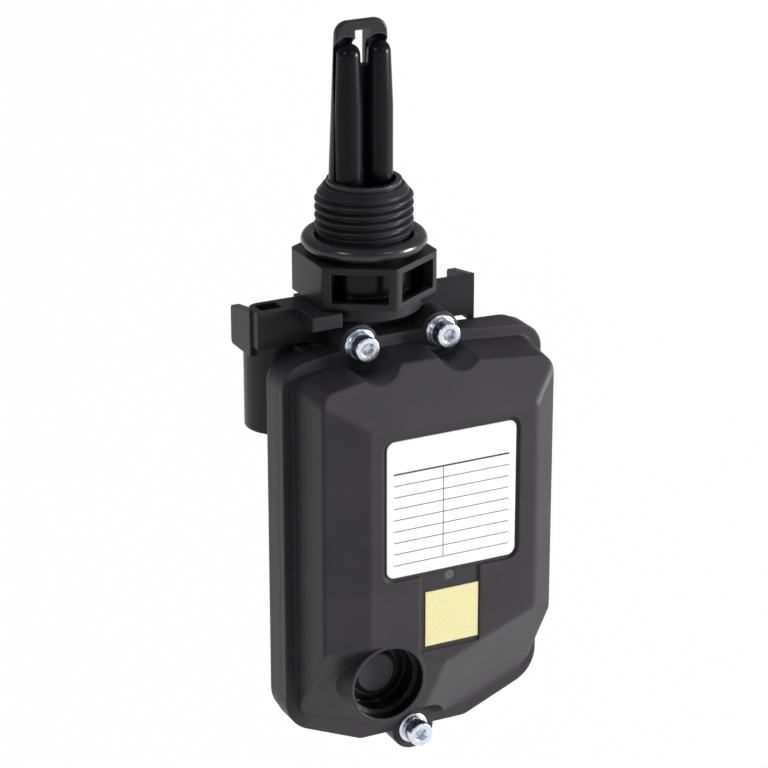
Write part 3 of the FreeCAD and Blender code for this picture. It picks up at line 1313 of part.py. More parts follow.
def cover_screws():
    seat = size.seam + size.flange_thickness + size.washer_thickness + size.lock_washer_thickness
    screws = []
    for index, (x, z, diameter) in enumerate(SCREWS, 1):
        head = cylinder("screw_head_%d" % index, size.screw_head, size.screw_head_height,
                        x=x, y=-seat, z=z, way="-Y")
        shank = cylinder("screw_shank_%d" % index, size.screw_shank, size.screw_length,
                         x=x, y=-seat, z=z, way="+Y")
        socket = prism("screw_socket_%d" % index, size.screw_socket, size.screw_head_height,
                       x=x, y=-seat - size.screw_head_height / 2, z=z, way="-Y")
        screws.append(cut("cover_screw_%d" % index, fuse("screw_blank_%d" % index, head, shank), socket))
    return group("cover_screws", *screws)


def washers(name, diameter, thickness, below):
    rings = []
    for index, (x, z, boss) in enumerate(SCREWS, 1):
        disc = cylinder("%s_disc_%d" % (name, index), diameter, thickness, x=x, y=-below, z=z, way="-Y")
        hole = cylinder("%s_hole_%d" % (name, index), size.screw_shank + size.washer_fit * 2,
                        thickness + CUT_PAST * 2, x=x, y=-below + CUT_PAST, z=z, way="-Y")
        rings.append(cut("%s_%d" % (name, index), disc, hole))
    return group(name, *rings)


def threaded_inserts():
    rings = []
    for index, (x, z, boss) in enumerate(SCREWS, 1):
        sleeve = cylinder("insert_sleeve_%d" % index, size.insert_diameter, size.insert_length,
                          x=x, y=-size.seam, z=z, way="+Y")
        hole = cylinder("insert_thread_%d" % index, size.screw_shank, size.insert_length + CUT_PAST * 2,
                        x=x, y=-size.seam - CUT_PAST, z=z, way="+Y")
        rings.append(cut("threaded_insert_%d" % index, sleeve, hole))
    return group("threaded_inserts", *rings)


def body_screws():
    screws = []
    for index, (x, z) in enumerate(body_screw_spots(), 1):
        head = cylinder("body_screw_head_%d" % index, size.screw_head, size.body_screw_head_height,
                        x=x, y=-size.recess_front, z=z, way="-Y")
        shank = cylinder("body_screw_shank_%d" % index, size.screw_shank, size.body_screw_length,
                         x=x, y=-size.recess_front, z=z, way="+Y")
        screws.append(fuse("body_screw_%d" % index, head, shank))
    return group("body_screws", *screws)


# Label, sticker, lamp and button

def rating_label():
    body = new_body("rating_label")
    sketch = new_sketch(body, "rating_label_outline", "XZ_Plane", size.face_front - size.label_recess)
    rectangle(sketch, size.label_x - size.label_width / 2, -size.label_z - size.label_height / 2,
              size.label_x + size.label_width / 2, -size.label_z + size.label_height / 2)
    add(body, sketch, size.label_thickness, "rating_label_pad")
    round_edges(body, size.label_round, "rating_label_round", lambda e: along(e, AXIS_Y))
    return body


def square_label():
    side = size.sticker_side
    back = size.face_front - size.patch_recess
    return box("square_label", size.sticker_x - side / 2, -(back + size.sticker_thickness),
               -size.sticker_z - side / 2, side, size.sticker_thickness, side)


def light_guide():
    front = size.face_front - size.patch_recess
    led_top = size.board_front + size.led_height
    return cylinder("light_guide", size.lamp_diameter, front - led_top - size.lamp_gap,
                    x=size.lamp_x, y=-led_top - size.lamp_gap, z=-size.lamp_z, way="-Y")


def status_led():
    return box("status_led", size.lamp_x - size.led_side / 2, -(size.board_front + size.led_height),
               -size.lamp_z - size.led_side / 2, size.led_side, size.led_height, size.led_side)


def test_button():
    """A crowned cap with a retaining flange, flat beside the lower facet, and a stem."""
    floor_back = size.face_front - size.well_depth - size.cover_wall
    flange_front = floor_back - size.button_stop_gap
    x, z = -size.well_x, -size.well_z
    back = flange_front - size.button_flange_height
    cap = cylinder("button_cap", size.button_diameter, size.button_face - size.button_crown - back,
                   x=x, y=-back, z=z, way="-Y")
    crown = cone("button_crown", size.button_diameter, size.button_diameter - size.button_crown * 2,
                 size.button_crown, x=x, y=-(size.button_face - size.button_crown), z=z, way="-Y")
    disc = cylinder("button_flange_disc", size.button_flange, size.button_flange_height,
                    x=x, y=-flange_front, z=z, way="+Y")
    cosine = round(math.cos(math.radians(LOW_LEAN)), 9)
    sine = round(math.sin(math.radians(LOW_LEAN)), 9)
    reach_out = size.button_flange
    flat = box("button_flange_flat", x - reach_out * (cosine + sine), -flange_front - CUT_PAST,
               z + reach_out * (sine - cosine), reach_out * 2,
               size.button_flange_height + CUT_PAST * 2, reach_out - size.button_flat)
    flat.Placement = FreeCAD.Placement(flat.Placement.Base,
                                       FreeCAD.Rotation(AXIS_Y, LOW_LEAN))
    flange = cut("button_flange", disc, flat)
    reach = size.board_front + size.switch_height + size.switch_cap_height
    reach = reach + size.button_travel + size.button_switch_gap
    stem = cylinder("button_stem", size.button_stem, back - reach, x=x, y=-back, z=z, way="+Y")
    return fuse("test_button", cap, crown, flange, stem)


def tact_switch():
    x, z = -size.well_x, -size.well_z
    base = box("switch_base", x - size.switch_side / 2, -(size.board_front + size.switch_height),
               z - size.switch_side / 2, size.switch_side, size.switch_height, size.switch_side)
    cap = cylinder("switch_cap", size.switch_cap, size.switch_cap_height,
                   x=x, y=-(size.board_front + size.switch_height), z=z, way="-Y")
    return fuse("tact_switch", base, cap)


# Circuit board and what it carries

def circuit_board():
    board = box("board_blank", -size.board_left, -size.board_front, -size.board_bottom,
                size.board_left + size.board_right, size.board_thickness,
                size.board_bottom - size.board_top)
    tools = [cylinder("board_hole_%d" % index, size.board_screw_shank + size.washer_fit * 2,
                      size.board_thickness + CUT_PAST * 2, x=x, y=-size.board_front - CUT_PAST, z=z, way="+Y")
             for index, (x, z) in enumerate(post_spots(), 1)]
    return cut("circuit_board", board, *tools)


def board_screws():
    screws = []
    for index, (x, z) in enumerate(post_spots(), 1):
        head = cylinder("board_screw_head_%d" % index, size.board_screw_head,
                        size.board_screw_head_height, x=x, y=-size.board_front, z=z, way="-Y")
        shank = cylinder("board_screw_shank_%d" % index, size.board_screw_shank,
                         size.board_screw_length, x=x, y=-size.board_front, z=z, way="+Y")
        screws.append(fuse("board_screw_%d" % index, head, shank))
    return group("board_screws", *screws)


def transformer():
    return box("transformer", size.transformer_x, -(size.board_front + size.transformer_depth),
               -(size.transformer_top + size.transformer_height), size.transformer_width,
               size.transformer_depth, size.transformer_height)


def smoothing_capacitor():
    return cylinder("smoothing_capacitor", size.capacitor_diameter, size.capacitor_length,
                    x=size.capacitor_x, y=-size.board_front, z=-size.capacitor_z, way="-Y")


def terminal_block():
    back = size.board_front - size.board_thickness
    block = box("terminal_blank", size.terminal_x, -back, -(size.terminal_top + size.terminal_height),
                size.terminal_width, size.terminal_depth, size.terminal_height)
    tools = []
    pitch = size.terminal_width / TERMINALS
    for index in range(TERMINALS):
        tools.append(cylinder("terminal_entry_%d" % (index + 1), size.terminal_entry,
                              size.terminal_height / 2 + CUT_PAST,
                              x=size.terminal_x + pitch * index + pitch / 2,
                              y=-back + size.terminal_depth / 2,
                              z=-(size.terminal_top + size.terminal_height) - CUT_PAST))
    return cut("terminal_block", block, *tools)


# Cable gland at the back

def cable_gland():
    x, z = size.gland_x, -size.gland_z
    back = -size.shell_back
    hexagon = prism("gland_hexagon", size.gland_hex, size.gland_flange, x=x, y=back, z=z, way="+Y")
    inner = size.shell_wall + size.locknut_height
    thread = cylinder("gland_inner_thread", size.gland_thread, inner, x=x, y=back, z=z, way="-Y")
    neck = cylinder("gland_outer_thread", size.gland_thread, size.gland_neck,
                    x=x, y=back + size.gland_flange, z=z, way="+Y")
    bore = cylinder("gland_way", size.gland_bore, inner + size.gland_flange + size.gland_neck + CUT_PAST * 2,
                    x=x, y=back - inner - CUT_PAST, z=z, way="+Y")
    body = cut("cable_gland", fuse("gland_solid", hexagon, thread, neck), bore)

    nut_start = back + size.gland_flange + size.gland_nut_gap
    outside = prism("gland_nut_blank", size.gland_hex, size.gland_nut_length,
                    x=x, y=nut_start, z=z, way="+Y")
    room = cylinder("gland_nut_room", size.gland_thread + size.gland_fit * 2,
                    size.gland_neck - size.gland_nut_gap + size.gland_seal_length + CUT_PAST,
                    x=x, y=nut_start - CUT_PAST, z=z, way="+Y")
    mouth = cylinder("gland_nut_mouth", size.gland_bore, size.gland_nut_length + CUT_PAST * 2,
                     x=x, y=nut_start - CUT_PAST, z=z, way="+Y")
    cut("gland_nut", outside, room, mouth)

    seal_start = back + size.gland_flange + size.gland_neck
    ring = cylinder("gland_seal_ring", size.gland_thread, size.gland_seal_length,
                    x=x, y=seal_start, z=z, way="+Y")
    way = cylinder("gland_seal_way", size.gland_bore, size.gland_seal_length + CUT_PAST * 2,
                   x=x, y=seal_start - CUT_PAST, z=z, way="+Y")
    cut("gland_seal", ring, way)

    locknut = prism("gland_locknut_blank", size.gland_hex, size.locknut_height,
                    x=x, y=back - size.shell_wall, z=z, way="-Y")
    hole = cylinder("gland_locknut_hole", size.gland_thread, size.locknut_height + CUT_PAST * 2,
                    x=x, y=back - size.shell_wall + CUT_PAST, z=z, way="-Y")
    cut("gland_locknut", locknut, hole)
    return body


def build():
    inlet_fitting()
    inlet_ring()
    probe_guard()
    for side, sign in SIDES:
        probe_sheath(side, sign)
        probe_electrode(side, sign)
    probe_seal()
    valve_body()
    valve_seat()
    guide_tube()
    fixed_core()
    plunger()
    plunger_seal()
    plunger_spring()
    coil_bobbin()
    coil_winding()
    coil_yoke()
    coil_nut()
    rear_shell()
    front_cover()
    cover_screws()
    face = size.seam + size.flange_thickness
    washers("flat_washers", size.washer_diameter, size.washer_thickness, face)
    washers("spring_washers", size.lock_washer_diameter, size.lock_washer_thickness,
            face + size.washer_thickness)
    threaded_inserts()
    body_screws()
    rating_label()
    square_label()
    light_guide()
    status_led()
    test_button()
    tact_switch()
    circuit_board()
    board_screws()
    transformer()
    smoothing_capacitor()
    terminal_block()
    cable_gland()


NODES = (
    "inlet_fitting", "inlet_ring", "probe_guard", "probe_sheath_left", "probe_sheath_right",
    "probe_electrode_left", "probe_electrode_right", "probe_seal", "valve_body", "valve_seat",
    "guide_tube", "fixed_core", "plunger", "plunger_seal", "plunger_spring", "coil_bobbin",
    "coil_winding", "coil_yoke", "coil_nut", "rear_shell", "front_cover", "cover_screws",
    "flat_washers", "spring_washers", "threaded_inserts", "body_screws", "rating_label",
    "square_label", "light_guide", "status_led", "test_button", "tact_switch", "circuit_board",
    "board_screws", "transformer", "smoothing_capacitor", "terminal_block", "cable_gland",
    "gland_nut", "gland_seal", "gland_locknut",
)

def set_down(node):
    """Lowers a finished node, so that the origin lies at the foot of the thread."""
    levels = [text for path, text in node.ExpressionEngine if path.endswith("Placement.Base.z")]
    level = levels[0] if levels else "0"
    node.setExpression("Placement.Base.z", "%s - sizes.relief_height" % level)


build()
for node in NODES:
    set_down(doc.getObjectsByLabel(node)[0])
doc.recompute()

for thing in doc.Objects:
    if "Invalid" in thing.State or "Error" in thing.State:
        raise ValueError("%s is not built" % thing.Label)

os.makedirs("parts", exist_ok=True)
for node in NODES:
    shape = doc.getObjectsByLabel(node)[0].Shape
    if shape.isNull() or not shape.isValid():
        raise ValueError("%s is not a valid solid" % node)
    shape.exportStep("parts/%s.step" % node)
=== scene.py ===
"""Looks of an electronic condensate drain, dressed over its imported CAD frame.

Every length is in metres, in the frame of the CAD part: the origin lies on the
inlet axis at the foot of the thread, +Z runs up the inlet, -Y to the front.
"""

from __future__ import annotations

import logging
import math
from dataclasses import dataclass, replace
from enum import Enum
from typing import Callable, Optional, Sequence, Union

import bmesh
import bpy
from mathutils import Matrix, Vector

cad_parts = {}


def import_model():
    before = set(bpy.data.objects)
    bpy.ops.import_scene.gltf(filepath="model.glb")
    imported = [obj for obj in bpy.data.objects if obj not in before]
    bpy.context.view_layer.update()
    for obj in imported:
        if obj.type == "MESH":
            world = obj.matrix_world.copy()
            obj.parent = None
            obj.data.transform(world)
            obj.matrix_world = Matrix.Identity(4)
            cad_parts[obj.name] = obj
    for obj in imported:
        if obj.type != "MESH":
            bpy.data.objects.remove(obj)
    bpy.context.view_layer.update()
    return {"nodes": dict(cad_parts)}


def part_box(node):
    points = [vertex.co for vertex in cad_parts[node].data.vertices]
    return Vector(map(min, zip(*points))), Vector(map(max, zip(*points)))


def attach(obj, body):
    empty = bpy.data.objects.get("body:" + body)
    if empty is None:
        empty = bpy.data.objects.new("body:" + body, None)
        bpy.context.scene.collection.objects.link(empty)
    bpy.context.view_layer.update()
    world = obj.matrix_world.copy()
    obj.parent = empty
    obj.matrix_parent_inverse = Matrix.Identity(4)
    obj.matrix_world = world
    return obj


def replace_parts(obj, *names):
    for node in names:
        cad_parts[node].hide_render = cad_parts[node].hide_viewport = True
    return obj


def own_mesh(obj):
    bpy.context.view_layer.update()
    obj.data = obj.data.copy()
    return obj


LOG = logging.getLogger("condensate_drain")
MM = 0.001
TURN = 2.0 * math.pi
SIXTH = TURN / 6.0
WAVE_SCALE = 0.314
TO_FRONT = Matrix.Rotation(math.pi / 2, 4, "X")

Colour = tuple[float, float, float]
Point = tuple[float, float, float]
Profile = Sequence[tuple[float, float]]
RadiusAt = Callable[[int, float, float], float]
Socket = bpy.types.NodeSocket
Fed = Union[Socket, float, tuple[float, ...]]


class Axis(Enum):
    """The axis of a recess, with the directions in which its radius is measured."""

    UP = ("Z", (1.0, 1.0, 0.0))
    FRONT = ("Y", (1.0, 0.0, 1.0))


class Reach(Enum):
    """Whether the light of a lamp shows in shading and in reflections."""

    ALL = (True, True)
    SHADE = (True, False)
    GLINT = (False, True)


class Kind(Enum):
    """What a mix node blends, with its two inputs and its output."""

    COLOUR = ("RGBA", 6, 7, 2)
    NUMBER = ("FLOAT", 2, 3, 0)


class Body(Enum):
    """The body of the frame that carries the new pieces."""

    HOUSING = "housing"


@dataclass(frozen=True)
class Cloud:
    """A noise, the part of its range that counts and what that is spread to."""

    scale: float
    detail: float = 3.0
    low: float = 1.0
    high: float = 1.0
    start: float = 0.3
    end: float = 0.7


@dataclass(frozen=True)
class Relief:
    """A fine relief, with the radius of its soft edges."""

    scale: float
    depth: float
    detail: float = 2.0
    edge: float = 0.0


class Graph:
    """A material's node tree while it is put together."""

    bevel_samples: int = 4
    full_bend: float = 0.86
    octave_share: float = 0.55

    def __init__(self, name: str) -> None:
        """Starts an empty material with a surface shader and its output.

        Args:
            name: The material's name.
        """
        self.material = bpy.data.materials.new(name)
        self.material.use_nodes = True
        self.tree = self.material.node_tree
        self.tree.nodes.clear()
        self.output = self.tree.nodes.new("ShaderNodeOutputMaterial")
        self.surface = self.tree.nodes.new("ShaderNodeBsdfPrincipled")
        self.link(self.surface.outputs["BSDF"], self.output.inputs["Surface"])

    def link(self, source: Socket, target: Socket) -> None:
        """Links one socket to another."""
        self.tree.links.new(source, target)

    def feed(self, target: Socket, value: Fed) -> None:
        """Links a socket to another one, or sets a plain value on it.

        Args:
            target: The input that is fed.
            value: The socket, number or colour that feeds it.
        """
        if isinstance(value, Socket):
            self.link(value, target)
        else:
            target.default_value = value

    def finish(self, **values: Fed) -> None:
        """Feeds inputs of the surface shader.

        Args:
            **values: The inputs' names, with spaces as underscores, and what feeds them.
        """
        for name, value in values.items():
            self.feed(self.surface.inputs[name.replace("_", " ")], value)

    def node(self, kind: str, **values: object) -> bpy.types.Node:
        """Adds a node and sets its properties and its sockets.

        Args:
            kind: The node's type name.
            **values: Property names, or socket names with spaces as underscores.

        Returns:
            The new node.
        """
        made = self.tree.nodes.new(kind)
        for name, value in values.items():
            if hasattr(made, name):
                setattr(made, name, value)
            else:
                made.inputs[name.replace("_", " ")].default_value = value
        return made

    def place(self) -> Socket:
        """Coordinates in metres, the same on every piece."""
        return self.node("ShaderNodeTexCoord").outputs["Object"]

    def parts_of_place(self) -> bpy.types.NodeOutputs:
        """Splits the coordinates.

        Returns:
            The outputs X, Y and Z.
        """
        split = self.node("ShaderNodeSeparateXYZ")
        self.link(self.place(), split.inputs["Vector"])
        return split.outputs

    def maths(self, operation: str, *values: Fed) -> Socket:
        """Works something out from sockets and numbers.

        Args:
            operation: The name of the operation.
            *values: Its inputs in their order.

        Returns:
            The socket with the result.
        """
        made = self.node("ShaderNodeMath", operation=operation)
        for target, value in zip(made.inputs, values):
            self.feed(target, value)
        return made.outputs[0]

    def noise(self, grain: Union[Cloud, Relief]) -> Socket:
        """A noise in the piece's own metres.

        Args:
            grain: Its waves per metre and its octaves.

        Returns:
            The noise from 0 to 1.
        """
        texture = self.node("ShaderNodeTexNoise", Scale=grain.scale, Detail=grain.detail,
                            Roughness=self.octave_share)
        self.link(self.place(), texture.inputs["Vector"])
        return texture.outputs["Fac"]

    def ramp(self, source: Socket, stops: Sequence[tuple[float, Colour]]) -> Socket:
        """A colour ramp with two stops.

        Args:
            source: The socket that drives the ramp.
            stops: Positions from 0 to 1 with their colours.

        Returns:
            The colour.
        """
        ramp = self.node("ShaderNodeValToRGB")
        self.link(source, ramp.inputs["Fac"])
        for element, (spot, colour) in zip(ramp.color_ramp.elements, stops):
            element.position = spot
            element.color = (*colour, 1.0)
        return ramp.outputs["Color"]

    def cloudy(self, colour: Colour, cloud: Cloud) -> Socket:
        """A colour that a cloud makes darker and paler.

        Args:
            colour: The colour.
            cloud: The cloud, whose low and high multiply the colour.

        Returns:
            The clouded colour.
        """
        return self.ramp(self.noise(cloud), [
            (cloud.start, tuple(part * cloud.low for part in colour)),
            (cloud.end, tuple(part * cloud.high for part in colour)),
        ])

    def spread(self, cloud: Cloud) -> Socket:
        """A number that runs from a cloud's low to its high.

        Args:
            cloud: The cloud.

        Returns:
            The number.
        """
        mapped = self.node("ShaderNodeMapRange")
        self.link(self.noise(cloud), mapped.inputs["Value"])
        mapped.inputs["To Min"].default_value = cloud.low
        mapped.inputs["To Max"].default_value = cloud.high
        return mapped.outputs["Result"]

    def blend(self, kind: Kind, mask: Socket, outside: Socket, inside: Fed) -> Socket:
        """Goes over from one value to another by a mask.

        Args:
            kind: What is blended.
            mask: The mask.
            outside: What counts where the mask is 0.
            inside: What counts where it is 1.

        Returns:
            The blended value.
        """
        data_type, first, second, result = kind.value
        mix = self.node("ShaderNodeMix", data_type=data_type)
        self.link(mask, mix.inputs[0])
        self.link(outside, mix.inputs[first])
        mix.inputs[second].default_value = inside
        return mix.outputs[result]

    def bevel(self, radius: float) -> Socket:
        """The normal of a surface whose edges are rounded.

        Args:
            radius: The radius of the edges in metres.

        Returns:
            The normal.
        """
        edge = self.node("ShaderNodeBevel", samples=self.bevel_samples)
        edge.inputs["Radius"].default_value = radius
        return edge.outputs["Normal"]

    def bumps(self, height: Socket, depth: float, edge: float = 0.0) -> None:
        """Feeds a height into the surface normal.

        Args:
            height: The socket that gives the height.
            depth: The height of the relief in metres.
            edge: Radius of the rounded edges in metres, or 0 for none.
        """
        bump = self.node("ShaderNodeBump", Strength=1.0, Distance=depth)
        self.link(height, bump.inputs["Height"])
        if edge:
            self.link(self.bevel(edge), bump.inputs["Normal"])
        self.finish(Normal=bump.outputs["Normal"])

    def rough(self, relief: Relief) -> None:
        """Feeds a fine relief into the surface normal."""
        self.bumps(self.noise(relief), relief.depth, relief.edge)

    def edge_mask(self, radius: float, sharp: float) -> Socket:
        """A mask that is 1 on rounded edges and 0 on flat faces; it places wear and painted
        highlights.

        Args:
            radius: How far the mask reaches from an edge, in metres.
            sharp: The least bend that counts, from 0 to 1.

        Returns:
            The mask.
        """
        turn = self.node("ShaderNodeVectorMath", operation="DOT_PRODUCT")
        self.link(self.bevel(radius), turn.inputs[0])
        self.link(self.node("ShaderNodeNewGeometry").outputs["Normal"], turn.inputs[1])
        mask = self.node("ShaderNodeMapRange")
        mask.inputs["From Min"].default_value = 1.0 - sharp
        mask.inputs["From Max"].default_value = self.full_bend
        self.link(turn.outputs["Value"], mask.inputs["Value"])
        return mask.outputs["Result"]


@dataclass(frozen=True)
class ShadedRecess:
    """A round recess, glossier than the grain, whose colour is painted darker as shade."""

    lies: Axis
    middle: Point
    radius: float
    low: float
    high: float

    def mask(self, graph: Graph) -> Socket:
        """A mask that is 1 inside the recess.

        Args:
            graph: The material's graph.

        Returns:
            The mask.
        """
        along, flat = self.lies.value
        flattened = graph.node("ShaderNodeVectorMath", operation="MULTIPLY")
        graph.link(graph.place(), flattened.inputs[0])
        flattened.inputs[1].default_value = flat
        away = graph.node("ShaderNodeVectorMath", operation="DISTANCE")
        graph.link(flattened.outputs[0], away.inputs[0])
        away.inputs[1].default_value = tuple(a * b for a, b in zip(self.middle, flat))
        near = graph.maths("LESS_THAN", away.outputs["Value"], self.radius)
        level = graph.maths("COMPARE", graph.parts_of_place()[along],
                            (self.low + self.high) / 2, (self.high - self.low) / 2)
        return graph.maths("MULTIPLY", near, level)


@dataclass(frozen=True)
class Finish:
    """A finish, under a name that no slot of the record has."""

    name: str

    def material(self) -> bpy.types.Material:
        """Makes the material at its first use.

        Returns:
            The material.
        """
        known = bpy.data.materials.get(self.name)
        if known:
            return known
        graph = Graph(self.name)
        self.paint(graph)
        return graph.material

    def paint(self, graph: Graph) -> None:
        """Builds the look. Each kind of finish has its own."""
        raise NotImplementedError


@dataclass(frozen=True)
class MouldedPlastic(Finish):
    """Spark-grained moulded plastic, glossier and painted darker as shade in a recess."""

    colour: Colour = (0.03, 0.029, 0.029)
    # Paler colour on rounded edges, part wear and part painted highlight.
    wear_and_highlight: Colour = (0.075, 0.073, 0.072)
    roughness: float = 0.42
    grain: float = 2600.0
    grain_depth: float = 0.000012
    edge: float = 0.00035
    wear_and_highlight_strength: float = 0.5
    wear_and_highlight_reach: float = 1.6
    wear_and_highlight_sharp: float = 0.01
    specular: float = 0.5
    unevenness: float = 0.02
    mottle: Cloud = Cloud(90.0, 4.0, low=0.88, high=1.12)
    gloss: Cloud = Cloud(420.0, 5.0)
    scuffs: Cloud = Cloud(900.0)
    # Inside this recess the colour is painted darker as shade, and the finish is glossier.
    polish_and_shade_recess: Optional[ShadedRecess] = None
    recess_shade_colour: Colour = (0.006, 0.006, 0.007)
    polished_roughness: float = 0.22

    def paint(self, graph: Graph) -> None:
        """Dark resin with mottle, grain, a soft edge and a paler rim that is part wear and part
        painted highlight.

        Args:
            graph: The material's graph.
        """
        base = graph.cloudy(self.colour, self.mottle)
        shine = graph.spread(replace(self.gloss, low=self.roughness - self.unevenness,
                                     high=self.roughness + self.unevenness))
        # Painted shade: the recess takes a near-black colour and a lower roughness.
        if self.polish_and_shade_recess:
            inside = self.polish_and_shade_recess.mask(graph)
            base = graph.blend(Kind.COLOUR, inside, base, (*self.recess_shade_colour, 1.0))
            shine = graph.blend(Kind.NUMBER, inside, shine, self.polished_roughness)
        # The edges take a paler colour: part real wear, broken into patches, and part a painted
        # highlight where light would catch the fillets.
        highlight_rims = graph.edge_mask(self.edge * self.wear_and_highlight_reach, self.wear_and_highlight_sharp)
        patchy_wear_and_highlight = graph.maths("MULTIPLY", highlight_rims, graph.noise(self.scuffs))
        wear_and_highlight_mask = graph.maths("MULTIPLY", patchy_wear_and_highlight, self.wear_and_highlight_strength)
        base = graph.blend(Kind.COLOUR, wear_and_highlight_mask, base, (*self.wear_and_highlight, 1.0))
        graph.finish(Base_Color=base, Roughness=shine, Specular_IOR_Level=self.specular)
        self.relief(graph)

    def relief(self, graph: Graph) -> None:
        """The spark grain and the soft edges."""
        graph.rough(Relief(self.grain, self.grain_depth, edge=self.edge))


@dataclass(frozen=True)
class TurnedPlastic(MouldedPlastic):
    """Moulded plastic whose tool was turned, so that it carries fine rings."""

    centre: Point = (0.0, 0.0, 0.0)
    rings: float = 0.9 * MM
    ring_depth: float = 0.012 * MM
    ring_waver: float = 0.3

    def relief(self, graph: Graph) -> None:
        """Rings round the piece's axis, which lies along Y.

        Args:
            graph: The material's graph.
        """
        lay = graph.node("ShaderNodeMapping")
        lay.inputs["Location"].default_value = tuple(-value for value in self.centre)
        graph.link(graph.place(), lay.inputs["Vector"])
        turns = graph.node("ShaderNodeTexWave", wave_type="RINGS", rings_direction="Y",
                           Scale=WAVE_SCALE / self.rings, Distortion=self.ring_waver)
        graph.link(lay.outputs["Vector"], turns.inputs["Vector"])
        graph.bumps(turns.outputs["Fac"], self.ring_depth, self.edge)


@dataclass(frozen=True)
class Rubber(Finish):
    """Moulded rubber with a soft shine."""

    colour: Colour = (0.016, 0.0155, 0.017)
    bloom: Cloud = Cloud(160.0, 5.0, high=1.9, start=0.35, end=0.75)
    gloss: Cloud = Cloud(800.0, low=0.19, high=0.29)
    specular: float = 0.5
    skin: Relief = Relief(1800.0, 0.000001)

    def paint(self, graph: Graph) -> None:
        """Near black with a fine bloom.

        Args:
            graph: The material's graph.
        """
        graph.finish(Base_Color=graph.cloudy(self.colour, self.bloom),
                     Roughness=graph.spread(self.gloss), Specular_IOR_Level=self.specular)
        graph.rough(self.skin)


@dataclass(frozen=True)
class Metal(Finish):
    """Plated, turned or drawn metal."""

    colour: Colour
    shade: Colour
    roughness: float
    smoother: float = 0.07
    rougher: float = 0.1
    plating: Cloud = Cloud(700.0, 4.0, end=0.65)
    gloss: Cloud = Cloud(1500.0)
    marks: Relief = Relief(7000.0, 0.000003, edge=0.00012)

    def paint(self, graph: Graph) -> None:
        """Metal with cloudy plating and fine tool marks.

        Args:
            graph: The material's graph.
        """
        tint = graph.ramp(graph.noise(self.plating), [
            (self.plating.start, self.shade), (self.plating.end, self.colour)])
        shine = graph.spread(replace(self.gloss, low=self.roughness - self.smoother,
                                     high=self.roughness + self.rougher))
        graph.finish(Metallic=1.0, Base_Color=tint, Roughness=shine)
        graph.rough(self.marks)


@dataclass(frozen=True)
class WoundWire(Finish):
    """Enamelled wire laid in even turns."""

    colour: Colour = (0.52, 0.2, 0.07)
    # Colour of the grooves between turns, as a share of the copper: painted shade.
    groove_shade: float = 0.35
    crown: float = 0.6
    pitch: float = 0.35 * MM
    turn_depth: float = 0.08 * MM
    roughness: float = 0.3
    enamel: float = 0.4

    def paint(self, graph: Graph) -> None:
        """Copper with the ridges of its turns and painted shade in the grooves.

        Args:
            graph: The material's graph.
        """
        turns = graph.node("ShaderNodeTexWave", wave_type="BANDS", bands_direction="Z",
                           Scale=WAVE_SCALE / self.pitch)
        graph.link(graph.place(), turns.inputs["Vector"])
        # The grooves between turns are painted darker as shade.
        groove_shade_colour = tuple(part * self.groove_shade for part in self.colour)
        tint = graph.ramp(turns.outputs["Fac"], [(0.0, groove_shade_colour), (self.crown, self.colour)])
        graph.finish(Metallic=1.0, Base_Color=tint, Roughness=self.roughness,
                     Coat_Weight=self.enamel)
        graph.bumps(turns.outputs["Fac"], self.turn_depth)


@dataclass(frozen=True)
class PlainFilm(Finish):
    """A plain coloured sticker."""

    colour: Colour = (0.80, 0.72, 0.38)
    mottle: Cloud = Cloud(1800.0, 4.0, low=0.94)
    gloss: Cloud = Cloud(260.0, low=0.34, high=0.5)
    waves: Relief = Relief(240.0, 0.00003, detail=3.0, edge=0.0001)

    def paint(self, graph: Graph) -> None:
        """Film with faint mottle and shallow waves.

        Args:
            graph: The material's graph.
        """
        graph.finish(Base_Color=self.print_on(graph, graph.cloudy(self.colour, self.mottle)),
                     Roughness=graph.spread(self.gloss))
        graph.rough(self.waves)

    def print_on(self, graph: Graph, paper: Socket) -> Socket:
        """The film's colour under its print. A plain film is bare."""
        return paper


@dataclass(frozen=True)
class RuledFilm(PlainFilm):
    """White label film with the thin rules of a blank form."""

    colour: Colour = (0.87, 0.875, 0.885)
    mottle: Cloud = Cloud(2600.0, 4.0, low=0.96)
    gloss: Cloud = Cloud(300.0, low=0.32, high=0.46)
    waves: Relief = Relief(220.0, 0.00003, detail=3.0, edge=0.0001)
    ink: Colour = (0.03, 0.03, 0.035)
    middle: Point = (0.0, 0.0, 0.0)
    width: float = 30.6 * MM
    height: float = 31.0 * MM
    margin: float = 1.6 * MM
    head: float = 7.4 * MM
    rule: float = 0.09 * MM
    head_rule: float = 0.198 * MM
    row: float = 2.6 * MM
    rows: int = 8
    column: float = 2.0 * MM

    def print_on(self, graph: Graph, paper: Socket) -> Socket:
        """Rules the film, from the label's own place.

        Args:
            graph: The material's graph.
            paper: The colour of the film.

        Returns:
            The colour of the film with its rules.
        """
        places = graph.parts_of_place()

        def band(axis: str, centre: float, half: float) -> Socket:
            """A mask that is 1 within half of centre along one axis."""
            return graph.maths("COMPARE", places[axis], centre, half)

        x, _, z = self.middle
        top = z + self.height / 2 - self.head
        foot = top - self.rows * self.row
        inside = band("X", x, self.width / 2 - self.margin)
        ink = graph.maths("MULTIPLY", inside, band("Z", top, self.head_rule))
        for index in range(1, self.rows + 1):
            line = graph.maths("MULTIPLY", inside, band("Z", top - index * self.row, self.rule))
            ink = graph.maths("MAXIMUM", ink, line)
        upright = graph.maths("MULTIPLY", band("X", x - self.column, self.rule),
                              band("Z", (top + foot) / 2, (top - foot) / 2))
        ink = graph.maths("MAXIMUM", ink, upright)
        return graph.blend(Kind.COLOUR, ink, paper, (*self.ink, 1.0))


